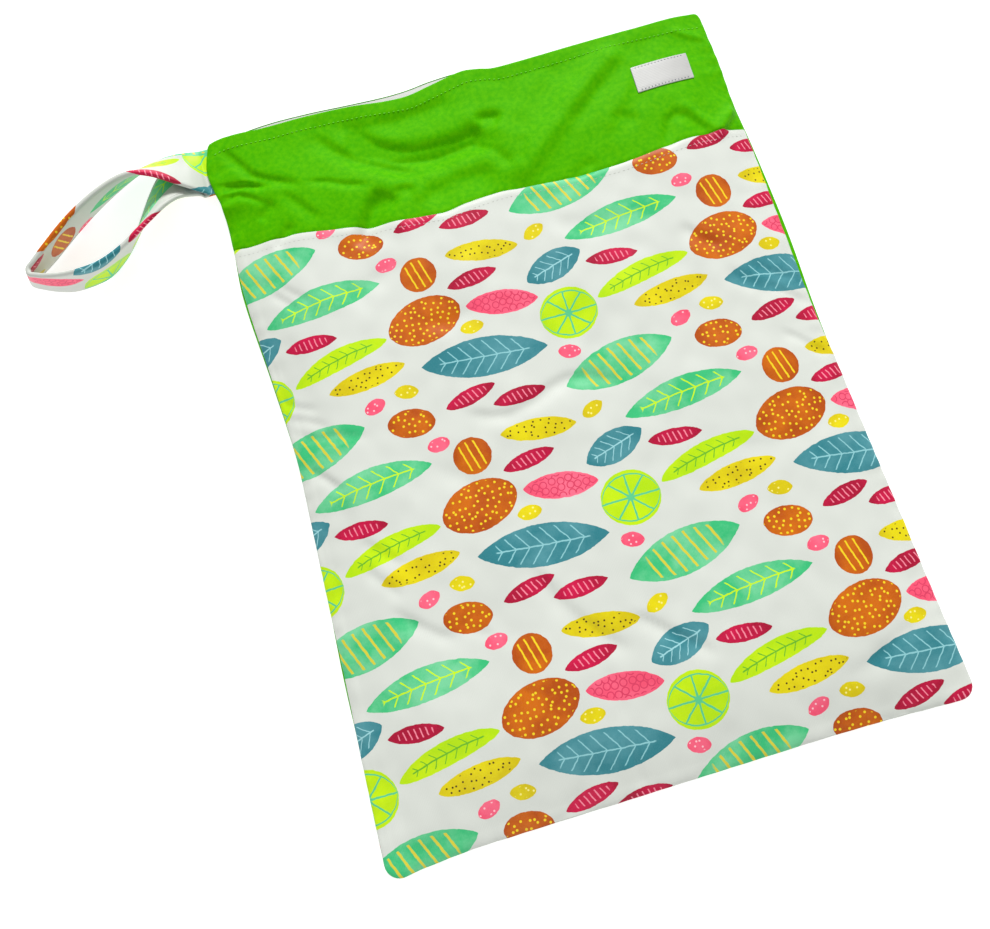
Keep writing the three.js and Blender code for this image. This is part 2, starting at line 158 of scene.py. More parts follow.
@dataclass(frozen=True)
class Fold:
    """One soft fold of the front: rise, half width and lean of its sides, and its line."""

    rise: float
    width: float
    lean: float
    line: tuple[tuple[float, float], ...]

    def height(self, x: np.ndarray, y: np.ndarray) -> np.ndarray:
        """Height that the fold adds, fading out towards both ends of its line.

        Args:
            x: places across the bag, in millimetres.
            y: places along the bag.

        Returns:
            Heights, below 0 for a valley.
        """
        line = np.array(self.line, dtype=float)
        runs = np.diff(line, axis=0)
        lengths = np.hypot(*runs.T)
        passed = np.concatenate([[0], np.cumsum(lengths)])
        away = np.full(x.shape, np.inf)
        side, share = np.zeros(x.shape), np.zeros(x.shape)
        for start, run, length, before in zip(line, runs, lengths, passed):
            dx, dy = x - start[0], y - start[1]
            along = np.clip((dx * run[0] + dy * run[1]) / length ** 2, 0, 1)
            off = np.hypot(dx - run[0] * along, dy - run[1] * along)
            nearer = off < away
            away = np.where(nearer, off, away)
            side = np.where(nearer, np.sign(run[0] * dy - run[1] * dx), side)
            share = np.where(nearer, (before + along * length) / passed[-1], share)
        fade = min(14.0, 0.3 * passed[-1])
        ends = smooth_step(np.minimum(share, 1 - share) * passed[-1], 0, fade)
        return self.rise * ends * np.exp(-(away / (self.width * (1 - self.lean * side))) ** 2)


# Folds of the band, then of the print. Each line runs to the right, and a lean above 0
# makes the side towards the mouth the steeper one.
FOLDS = tuple(Fold(*row) for row in (
    (-6.0, 8.0, 0.25, ((-74, 182), (-60, 170), (-52, 164.3), (-45, 160.2), (-38, 157.7),
                      (-25, 156.7), (-10, 157.3), (1, 160), (9, 165))),
    (-1.5, 5.7, 0.3, ((-80, 188), (-62, 184), (-40, 182), (-20, 183.5), (-4, 187))),
    (-2.0, 4.5, 0.3, ((-92, 191), (-86, 182.5), (-80, 174.5), (-72, 166.5), (-64, 160.5),
                      (-55, 155.5), (-45, 150.5), (-34, 145.5))),
    (0.8, 4.4, -0.2, ((-76, 180), (-70, 174.5), (-60, 165.5), (-50, 157.5), (-40, 151.5),
                      (-32, 146))),
    (-3.8, 6.0, 0.3, ((-82, 111), (-73, 125), (-67, 135), (-61, 143))),
    (-2.4, 5.0, 0.3, ((-68, 142), (-61, 138.5), (-52, 131))),
    (-1.6, 3.6, 0.3, ((-56, 138), (-49, 139.5), (-42, 137))),
    (-1.9, 7.0, 0.3, ((-42, 123), (-32, 132), (-20, 136), (-4, 135), (6, 129))),
    (0.7, 3.0, 0.0, ((-44, 128), (-37, 138), (-31, 148))),
    (-2.9, 5.2, 0.4, ((0, 167), (5, 169), (10, 168.5), (16, 165))),
    (-1.4, 3.4, 0.3, ((-8, 158), (0, 153), (6, 147), (11, 138), (14, 131))),
    (-0.9, 3.5, 0.0, ((14, 134), (20, 142), (24, 152))),
    (2.6, 7.4, -0.25, ((9, 122), (19, 130), (29, 139), (44, 151.5), (59, 164.5), (71, 174.5),
                       (85, 183.5), (95, 190))),
    (-0.9, 4.5, 0.2, ((48, 146), (60, 156), (72, 166), (84, 174))),
    (0.9, 5.0, -0.2, ((62, 134), (74, 147), (84, 158), (94, 170), (102, 182))),
    (-1.0, 4.0, 0.2, ((40, 116), (50, 122), (60, 124))),
    (-1.0, 4.5, 0.3, ((70, 144), (78, 146), (90, 139))),
    (-1.5, 3.8, 0.25, ((95, 117), (99.5, 127), (103.5, 135.5), (108.5, 138), (113, 135.5),
                       (118.5, 128.5), (126, 118))),
    (0.8, 3.0, -0.2, ((110, 147), (117, 139), (124, 129.5), (130, 121))),
    (2.8, 3.6, -0.4, ((125, 117), (133, 125), (140, 132), (147, 138))),
    (1.0, 2.8, -0.3, ((120, 194), (127, 189.5), (134, 185.5), (146, 180))),
    (-0.9, 6.0, 0.0, ((118, 128), (124, 140), (132, 150), (142, 156))),
    (-3.2, 1.9, 0.2, ((-164, 171.5), (-147, 172.5), (-140, 171), (-133, 169.8), (-126, 167),
                      (-118, 163))),
    (-1.4, 1.9, 0.25, ((-164, 165), (-147, 165.5), (-138, 165.5), (-132, 161.5), (-125, 155.5),
                       (-120, 153))),
    (-1.2, 3.4, 0.2, ((-131, 145), (-126, 150), (-119, 155))),
    (-1.7, 3.0, 0.3, ((-143, 199), (-139, 192.5), (-133, 183), (-128, 174.5), (-120, 168.7),
                      (-112, 164.2), (-100, 157.5))),
    (-1.3, 2.2, 0.3, ((-102, 159.5), (-97, 159), (-88, 156.4), (-80, 152.2), (-64, 146.5))),
    (-1.5, 3.8, 0.3, ((-118, 163), (-112, 155), (-106, 147), (-101, 140), (-95, 133))),
    (-1.4, 3.0, 0.0, ((-127, 126), (-120, 132), (-112, 139))),
    (-1.3, 2.6, 0.3, ((-141, 6), (-131, -5), (-122, -16))),
    (-1.1, 3.4, 0.3, ((-124, -40), (-112, -52), (-102, -62))),
    (-0.9, 3.0, 0.2, ((-126, -54), (-116, -66), (-108, -78))),
    (-1.3, 3.6, 0.3, ((-118, -78), (-110, -87), (-96, -99), (-84, -104))),
    (-0.8, 3.0, 0.2, ((-90, -92), (-80, -101), (-68, -108))),
    (-1.5, 4.4, 0.3, ((-46, -74), (-40, -88), (-34, -101), (-26, -114), (-16, -126),
                      (-6, -136))),
    (-0.8, 3.6, 0.0, ((-22, -134), (-22, -150), (-20, -166))),
    (-1.6, 3.6, 0.35, ((-6, -113), (6, -123), (14, -131), (24, -139), (34, -150))),
    (-1.3, 3.8, 0.3, ((-56, 8), (-40, 1), (-30, -1), (-16, 2), (-6, 7), (4, 9.5), (14, 8),
                      (24, 3), (32, -4))),
    (-1.0, 2.6, 0.3, ((-147, 46), (-136, 37), (-124, 31))),
    (-0.9, 2.4, 0.2, ((-147, 35), (-134, 29), (-120, 19))),
    (-0.8, 2.6, 0.2, ((-146, 26), (-134, 19), (-116, 14), (-100, 8))),
    (-0.9, 2.4, 0.3, ((-136, 105), (-127, 95), (-119, 85))),
    (-0.8, 2.4, 0.3, ((-130, 107), (-121, 97), (-112, 89))),
    (-0.8, 3.6, 0.0, ((-147, 112), (-134, 108), (-124, 110))),
    (-1.3, 3.4, 0.3, ((88, 76), (94, 67), (100, 61), (108, 55))),
    (-1.0, 4.0, 0.2, ((102, 44), (110, 36), (118, 28), (122, 16))),
    (-0.9, 2.6, 0.2, ((116, 44), (127, 35), (142, 28))),
    (-0.9, 2.6, 0.2, ((120, 31), (131, 22), (143, 13))),
    (-1.0, 2.6, 0.3, ((118, 3), (126, -2), (134, -9), (143, -18))),
    (-0.7, 5.0, 0.0, ((10, 22), (18, 36), (24, 50))),
    (-0.9, 5.0, 0.2, ((-62, 62), (-48, 58), (-30, 60))),
    (-0.8, 6.0, 0.2, ((-100, 84), (-78, 92), (-54, 96))),
    (-0.6, 6.0, 0.2, ((20, 96), (50, 88), (84, 86))),
    (-0.8, 6.0, 0.2, ((70, -48), (95, -56), (120, -52))),
    (-0.9, 5.0, 0.2, ((86, -178), (108, -170), (138, -158))),
    (-0.7, 6.0, 0.2, ((-84, -10), (-64, -26), (-50, -42))),
    (-0.7, 6.0, 0.2, ((30, 8), (44, -10), (54, -34))),
    (-0.8, 5.0, 0.2, ((-126, -150), (-136, -170), (-142, -186))),
    (-0.9, 2.4, 0.0, ((-26, -168), (-22, -184), (-21, -202))),
))


@dataclass(frozen=True)
class BagForm:
    """Plan and heights of the laid bag, in millimetres, as in the part's source."""

    width: float = 298.0
    length: float = 401.0
    cloth: float = 1.2
    sewn_gap: float = 0.3
    pillow: float = 11.5
    shoulder: float = 52.0
    mouth_top: float = 8.8
    mouth_fall: float = 58.0
    hem: float = 7.3
    corner: float = 8.0
    lip_corner: float = 3.6
    back_corner: float = 7.0
    reveal: float = 2.1
    loop_y: float = 187.3
    loop_width: float = 28.0
    loop_stack: float = 3.6
    loop_blend: float = 12.0
    allowance: float = 4.5
    label_spot: tuple[float, float] = (110.1, 165.6)
    label_half: tuple[float, float] = (17.2, 8.5)
    waves: tuple[tuple[int, int, int], ...] = ((14, 28, 85), (26, 9, 24))
    unevenness: float = 0.0019
    bulge: float = 2.2
    left_corner_share: float = 0.3
    under_label: float = 0.12

    def cross(self, edge: Edge, x: np.ndarray) -> np.ndarray:
        """Place along the bag of a cross edge, at places across it."""
        return self.length * read_table(CROSS_EDGES, edge.value, x / (self.width / 2))

    def corner_inset(self, x: np.ndarray, y: np.ndarray) -> np.ndarray:
        """How far a side edge moves in at a round bottom corner."""
        near = np.clip(self.corner - (y - self.cross(Edge.BOTTOM, x)), 0, self.corner)
        return self.corner - np.sqrt(self.corner ** 2 - near ** 2)

    def edges(self, x: np.ndarray, y: np.ndarray, front: bool) -> tuple[np.ndarray, np.ndarray]:
        """Find the left and right edge of the back or the front.

        Args:
            x: places across the bag, for the round corners.
            y: places along the bag.
            front: whether the front's edges are asked for.

        Returns:
            The places across the bag of the left and of the right edge.
        """
        at = y / self.length
        inset = self.corner_inset(x, y)
        left = inset - self.width / 2 * read_table(SIDE_EDGES, 1, at)
        right = self.width / 2 * read_table(SIDE_EDGES, 2, at) - inset
        if front:
            left = left + self.reveal * read_table(SIDE_EDGES, 3, at)
            right = right - self.reveal * read_table(SIDE_EDGES, 4, at)
        return left, right

    def rise(self, distance: np.ndarray) -> np.ndarray:
        """Full rise from a seam, 0 at the seam and 1 past the shoulder."""
        return 1 - (1 - np.clip(distance / self.shoulder, 0, 1)) ** self.bulge

    def loop_lift(self, x: np.ndarray, y: np.ndarray) -> np.ndarray:
        """How far the two plies of the loop hold the side seam open."""
        reach = self.loop_width / 2 + self.loop_blend
        beside = 1 - smooth_step(np.abs(y - self.loop_y), reach, reach + self.loop_blend)
        return np.where(x < 0, self.loop_stack * beside, 0.0)

    def lip_drop(self, nominal: np.ndarray, corner: float) -> np.ndarray:
        """How far a lip falls at its two round corners, the left one being the sharper."""
        inside = np.minimum(nominal + self.width / 2, self.width / 2 - nominal)
        radius = corner * np.where(nominal < 0, self.left_corner_share, 1.0)
        near = np.clip(radius - inside, 0, radius)
        return radius - np.sqrt(radius ** 2 - near ** 2)

    def folds(self, x: np.ndarray, y: np.ndarray) -> np.ndarray:
        """Height of all folds at a place, nearly flat under the stiff label."""
        off = np.maximum(np.abs(x - self.label_spot[0]) - self.label_half[0],
                         np.abs(y - self.label_spot[1]) - self.label_half[1])
        total = sum(fold.height(x, y) for fold in FOLDS) + self.swell(x, y)
        freedom = smooth_step(off, -1, 6)
        return total * (self.under_label + (1 - self.under_label) * freedom)

    def sewn_relief(self, x: np.ndarray, y: np.ndarray) -> np.ndarray:
        """Small relief of what is sewn: turned hem, seam allowance, stitch grooves, puckers."""
        # All heights, widths and wavelengths here and in the puckers are in millimetres.
        to_lip = self.cross(Edge.LIP, x) - y
        to_join = self.cross(Edge.JOIN, x) - y
        hem = 0.2 * (1 - smooth_step(to_lip, self.hem - 0.4, self.hem + 1.2))
        hem = hem - 0.05 * np.exp(-((to_lip - self.hem) / 0.6) ** 2)
        turned = smooth_step(to_join, -0.5, 0.8) * (1 - smooth_step(to_join, 4, 6))
        join = 0.15 * turned - 0.12 * np.exp(-((to_join - self.allowance) / 0.6) ** 2)
        crease = -0.4 * np.exp(-(to_join / 0.7) ** 2)
        gather = np.sin(x / 2.1 + 1.3 * np.sin(x / 7.7)) * np.exp(-np.abs(to_lip - self.hem) / 3)
        return hem + join + crease + 0.1 * gather

    def seam_puckers(self, x: np.ndarray, y: np.ndarray, edges: tuple) -> np.ndarray:
        """Small waves along the side seams and the bottom seam, and the turned allowance."""
        left, right = edges
        inside = np.minimum(np.minimum(x - left, right - x), y - self.cross(Edge.BOTTOM, x))
        turned = 0.3 * smooth_step(inside, 0.3, 2.0) * (1 - smooth_step(inside, 4.5, 7.5))
        run = y / 1.9 + 2.2 * np.sin(y / 13.1) + 1.4 * np.sin(y / 31 + 1)
        side = np.exp(-((x - left) / 9)) + np.exp(-((right - x) / 9))
        along = x / 2.4 + 2 * np.sin(x / 17.3)
        bottom = np.exp(-((y - self.cross(Edge.BOTTOM, x)) / 9))
        return turned + 0.22 * side * np.sin(run) * (1 - bottom) + 0.28 * bottom * np.sin(along)

    def swell(self, x: np.ndarray, y: np.ndarray) -> np.ndarray:
        """Slow unevenness of cloth that was smoothed by hand, from a few crossing waves."""
        draw = np.random.default_rng(7)
        total = np.zeros_like(x)
        for count, shortest, longest in self.waves:
            for _ in range(count):
                angle, phase = draw.uniform(0, FULL_TURN, 2)
                length = draw.uniform(shortest, longest)
                wave = (x * math.cos(angle) + y * math.sin(angle)) / length * FULL_TURN
                total += self.unevenness * length * np.sin(wave + phase)
        return total

    def front_height(self, x: np.ndarray, y: np.ndarray) -> np.ndarray:
        """Height of the front's outer face.

        Args:
            x: places across the bag.
            y: places along the bag.

        Returns:
            Heights above the floor.
        """
        left, right = self.edges(x, y, front=True)
        sides = self.rise(x - left) * self.rise(right - x)
        share = sides * self.rise(0.75 * (y - self.cross(Edge.BOTTOM, x)))
        lip = self.cross(Edge.LIP, x)
        fall = smooth_step(y, lip - self.mouth_fall, lip - self.hem)
        crest = self.pillow + (self.mouth_top - self.pillow) * fall
        calm = 1 - smooth_step(y, lip - 1.4 * self.hem, lip)
        seam = 2 * self.cloth + self.sewn_gap + self.loop_lift(x, y)
        body = seam + (crest - seam) * share
        free = calm * smooth_step(np.minimum(x - left, right - x), 0, 4)
        body = np.maximum(body + free * self.folds(x, y), seam)
        return body + self.sewn_relief(x, y) + self.seam_puckers(x, y, (left, right))


@dataclass
class Patch:
    """A grid of points and their places on the flat cloth, in millimetres."""

    points: np.ndarray
    flat: np.ndarray


def outward(path: np.ndarray, clockwise: bool) -> np.ndarray:
    """Find the outward directions in plan along an outline.

    Args:
        path: points of the outline, in order.
        clockwise: whether the order is clockwise, seen from above.

    Returns:
        A unit direction for each point.
    """
    tangent = np.gradient(path, axis=0)
    if np.allclose(path[0], path[-1]):
        tangent[0] = tangent[-1] = path[1] - path[-2]
    turned = np.column_stack([-tangent[:, 1], tangent[:, 0]])
    if not clockwise:
        turned = -turned
    return turned / np.linalg.norm(turned, axis=1)[:, None]


def walk(*corners: tuple[int, int]) -> tuple[np.ndarray, np.ndarray]:
    """List the rows and columns of a grid that a walk from corner to corner passes."""
    runs = [np.linspace(here, there, np.abs(np.subtract(there, here)).max(), endpoint=False)
            for here, there in zip(corners, corners[1:])]
    passed = np.rint(np.vstack([*runs, corners[-1]])).astype(int)
    return passed[:, 0], passed[:, 1]


def distances(line: np.ndarray) -> np.ndarray:
    """Distance from a line's start to each of its points, along the line."""
    return np.concatenate([[0], np.cumsum(np.linalg.norm(np.diff(line, axis=0), axis=1))])


def rolled_edge(edge: np.ndarray, normals: np.ndarray, height: np.ndarray, radius: np.ndarray,
                angles: np.ndarray, flat: np.ndarray) -> Patch:
    """Roll a cloth's edge over its seam.

    Args:
        edge: outermost line in plan.
        normals: outward directions of that line.
        height: height of the cloth where the roll begins.
        radius: radius of the roll at each point.
        angles: angles of the roll, rows by points, from where it begins.
        flat: places of the beginning on the flat cloth.

    Returns:
        The roll, whose first row is the cloth's own edge.
    """
    centre = height - radius * np.sin(angles[0])
    inset = radius * (1 - np.cos(angles))
    plan = edge[None] - normals[None] * inset[..., None]
    points = np.concatenate([plan, (centre + radius * np.sin(angles))[..., None]], axis=2)
    arc = radius * np.abs(angles - angles[0])
    return Patch(points, flat[None] + normals[None] * arc[..., None])


def select_only(piece: bpy.types.Object) -> None:
    """Select one object and make it the active one."""
    bpy.ops.object.select_all(action="DESELECT")
    piece.select_set(True)
    bpy.context.view_layer.objects.active = piece


def lay_grid(patch: Patch) -> bpy.types.Object:
    """Add a grid and lay its vertices on a patch.

    Args:
        patch: points in millimetres and their places on the flat cloth.

    Returns:
        The grid's object, with a UV map in metres of cloth.
    """
    rows, columns = patch.points.shape[:2]
    bpy.ops.object.select_all(action="DESELECT")
    bpy.ops.mesh.primitive_grid_add(
        x_subdivisions=columns - 1, y_subdivisions=rows - 1, size=2.0, calc_uvs=True
    )
    piece = bpy.context.active_object
    mesh = piece.data
    places = np.empty(len(mesh.vertices) * 3)
    mesh.vertices.foreach_get("co", places)
    places = places.reshape(-1, 3)
    column = np.rint((places[:, 0] + 1) / 2 * (columns - 1)).astype(int)
    row = np.rint((places[:, 1] + 1) / 2 * (rows - 1)).astype(int)
    mesh.vertices.foreach_set("co", (patch.points[row, column] * MM).ravel())
    corners = np.empty(len(mesh.loops), dtype=int)
    mesh.loops.foreach_get("vertex_index", corners)
    flat = patch.flat[row, column][corners] * MM
    mesh.uv_layers.active.name = "cloth"
    mesh.uv_layers["cloth"].uv.foreach_set("vector", flat.ravel())
    mesh.update()
    return piece


def sew_sheet(
    name: str, patches: list[Patch], thickness: float, finishes: list[bpy.types.Material]
) -> bpy.types.Object:
    """Make one cloth of several patches that share their edges.

    Args:
        name: the piece's name.
        patches: the patches, in millimetres.
        thickness: the cloth's thickness in millimetres, 0 for a closed tube.
        finishes: material of the outer face, and of the inner face where it differs.

    Returns:
        The finished piece.
    """
    grids = [lay_grid(patch) for patch in patches]
    select_only(grids[0])
    for grid in grids[1:]:
        grid.select_set(True)
    if len(grids) > 1:
        bpy.ops.object.join()
    piece = bpy.context.active_object
    piece.name = piece.data.name = name
    bpy.ops.object.mode_set(mode="EDIT")
    bpy.ops.mesh.select_all(action="SELECT")
    bpy.ops.mesh.remove_doubles(threshold=2e-6)
    bpy.ops.object.mode_set(mode="OBJECT")
    for finish in finishes:
        piece.data.materials.append(finish)
    if thickness:
        shell = piece.modifiers.new("cloth thickness", "SOLIDIFY")
        shell.thickness = thickness * MM
        shell.offset = -1.0
        shell.use_quality_normals = True
        shell.material_offset = len(finishes) - 1
        bpy.ops.object.modifier_apply(modifier=shell.name)
    bpy.ops.object.shade_smooth_by_angle(angle=math.radians(70))
    return piece


def into_place(piece: bpy.types.Object, slot: str, *nodes: str) -> None:
    """Put a finished piece on the body, and hide the nodes that it stands for."""
    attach(piece, ROOT)
    if nodes:
        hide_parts(*nodes)
    LOG.info("%s: %d faces", piece.name, len(piece.data.polygons))


class Recipe:
    """A node tree that is written down step by step, each step with a name."""

    def __init__(self, tree: bpy.types.NodeTree) -> None:
        """Start from an empty tree."""
        self.tree = tree
        self.tree.nodes.clear()
        self.made: dict[str, bpy.types.NodeSocket] = {}

    def add(self, name: str, kind: str, inputs: dict | list | tuple = (), output: int | str = 0,
            **settings: object) -> bpy.types.Node:
        """Add a node with its settings and links.

        Args:
            name: the step's name, by which later steps call its output.
            kind: the node's type.
            inputs: values, sockets or names of steps, by place or by socket name.
            output: which output the name stands for.
            **settings: the node's own settings.

        Returns:
            The new node.
        """
        node = self.tree.nodes.new(kind)
        for key, value in settings.items():
            setattr(node, key, value)
        pairs = inputs.items() if isinstance(inputs, dict) else enumerate(inputs)
        for key, value in pairs:
            source = self.made.get(value) if isinstance(value, str) else value
            if isinstance(source, bpy.types.NodeSocket):
                self.tree.links.new(source, node.inputs[key])
            elif source is not None:
                node.inputs[key].default_value = source
        if len(node.outputs):
            self.made[name] = node.outputs[output]
        return node

    def add_all(self, kind: str, *rows: tuple) -> None:
        """Add a node for each row, which gives the step's name, its operation and its inputs."""
        for name, operation, *inputs in rows:
            self.add(name, kind, inputs, operation=operation)


def new_material(name: str) -> tuple[bpy.types.Material, Recipe]:
    """Make an empty material with its recipe."""
    material = bpy.data.materials.new(name)
    material.use_nodes = True
    return material, Recipe(material.node_tree)


def add_knit_relief(recipe: Recipe, depth: float) -> None:
    """Add the small relief of a weft knit, read from the cloth's own UV map.

    Args:
        recipe: where the steps go; it already has a step "flat", in millimetres.
        depth: depth of the relief in metres.
    """
    apart = recipe.add("apart", "ShaderNodeSeparateXYZ", ("flat",))
    recipe.add_all(
        MATH,
        ("wale turn", "MULTIPLY", apart.outputs[0], 1 / WALE),
        ("wale share", "FRACT", "wale turn"),
        ("off wale", "SUBTRACT", "wale share", 0.5),
        ("leg", "ABSOLUTE", "off wale"),
        ("course turn", "MULTIPLY", apart.outputs[1], 1 / COURSE),
        ("slant", "MULTIPLY_ADD", "leg", 1.3, "course turn"),
        ("angle", "MULTIPLY", "slant", FULL_TURN),
        ("stitch", "COSINE", "angle"),
        ("round", "MULTIPLY", "leg", FULL_TURN),
        ("column", "COSINE", "round"),
        ("knit", "MULTIPLY_ADD", "stitch", 0.5, "column"),
    )
    recipe.add("relief", "ShaderNodeBump", {"Strength": 1.0, "Distance": depth, "Height": "knit"})


@dataclass(frozen=True)
class PlainKnit:
    """Dyed polyester interlock knit with a film behind it: even colour and a satin sheen."""

    name: str = "dyed polyester knit"
    bright: str = "#55b400"
    deep: str = "#44a900"
    roughness: float = 0.6
    sheen: float = 0.02

    def build(self) -> bpy.types.Material:
        """Make the material.

        Returns:
            The knit, with wales drawn at 0.8 mm, about twice as coarse as real ones.
        """
        material, recipe = new_material(self.name)
        recipe.add("uv", "ShaderNodeUVMap", uv_map="cloth")
        recipe.add("flat", VECTOR, {0: "uv", "Scale": 1000.0}, operation="SCALE")
        recipe.add("mottle", NOISE, {"Vector": "flat", "Scale": 0.35, "Detail": 3.0})
        recipe.add("share", RANGE, {0: "mottle", 1: 0.35, 2: 0.65})
        recipe.add("dye", MIX, {0: "share", 6: linear_colour(self.deep),
                                7: linear_colour(self.bright)}, 2, data_type="RGBA")
        add_knit_relief(recipe, 0.00001)
        recipe.add("surface", "ShaderNodeBsdfPrincipled", {
            "Base Color": "dye", "Roughness": self.roughness, "Sheen Weight": self.sheen,
            "Sheen Roughness": 0.4, "Sheen Tint": linear_colour("#a0f000"),
            "Specular IOR Level": 0.07, "Specular Tint": linear_colour("#a0e000"),
            "Normal": "relief",
        })
        recipe.add("out", "ShaderNodeOutputMaterial", {"Surface": "surface"})
        return material


@dataclass(frozen=True)
class Film:
    """White polyurethane film on the inside of the knit: smooth, soft gloss."""

    name: str = "white polyurethane film"

    def build(self) -> bpy.types.Material:
        """Make the material, with the fine grain of a cast film at 2 mm."""
        material, recipe = new_material(self.name)
        recipe.add("uv", "ShaderNodeUVMap", uv_map="cloth")
        recipe.add("grain", NOISE, {"Vector": "uv", "Scale": 500.0, "Detail": 2.0})
        recipe.add("relief", "ShaderNodeBump", {"Distance": 0.00005, "Height": "grain"})
        recipe.add("shade", RANGE, {0: "grain", 3: 0.36, 4: 0.5})
        recipe.add("surface", "ShaderNodeBsdfPrincipled", {
            "Base Color": linear_colour("#d9d9d5"), "Roughness": "shade", "Normal": "relief",
        })
        recipe.add("out", "ShaderNodeOutputMaterial", {"Surface": "surface"})
        return material


class Mark(Enum):
    """What is drawn inside a motif of the print."""

    SPOTS = "spots"
    BARS = "bars"
    VEINS = "veins"
    SEGMENTS = "segments"


@dataclass(frozen=True)
class Motif:
    """One motif of the print: place in the repeat, size in millimetres, and paints."""

    x: float
    y: float
    turn: float
    length: float
    height: float
    taper: float
    paint: tuple[str, str]
    ink: str
    mark: Mark
    pattern: str = "dots"
    pitch: float = 5.0
    bend: float = 0.0


MINT = ("#78d29c", "#38be78")
TEAL = ("#50939c", "#2f7e88")
ORANGE = ("#d06a00", "#b24c00")
LIME = ("#c6ea00", "#b2e000")
CRIMSON = ("#cd0a46", "#a80532")
PINK = ("#fa6e8a", "#f05070")
YELLOW = ("#e6d700", "#d2be00")


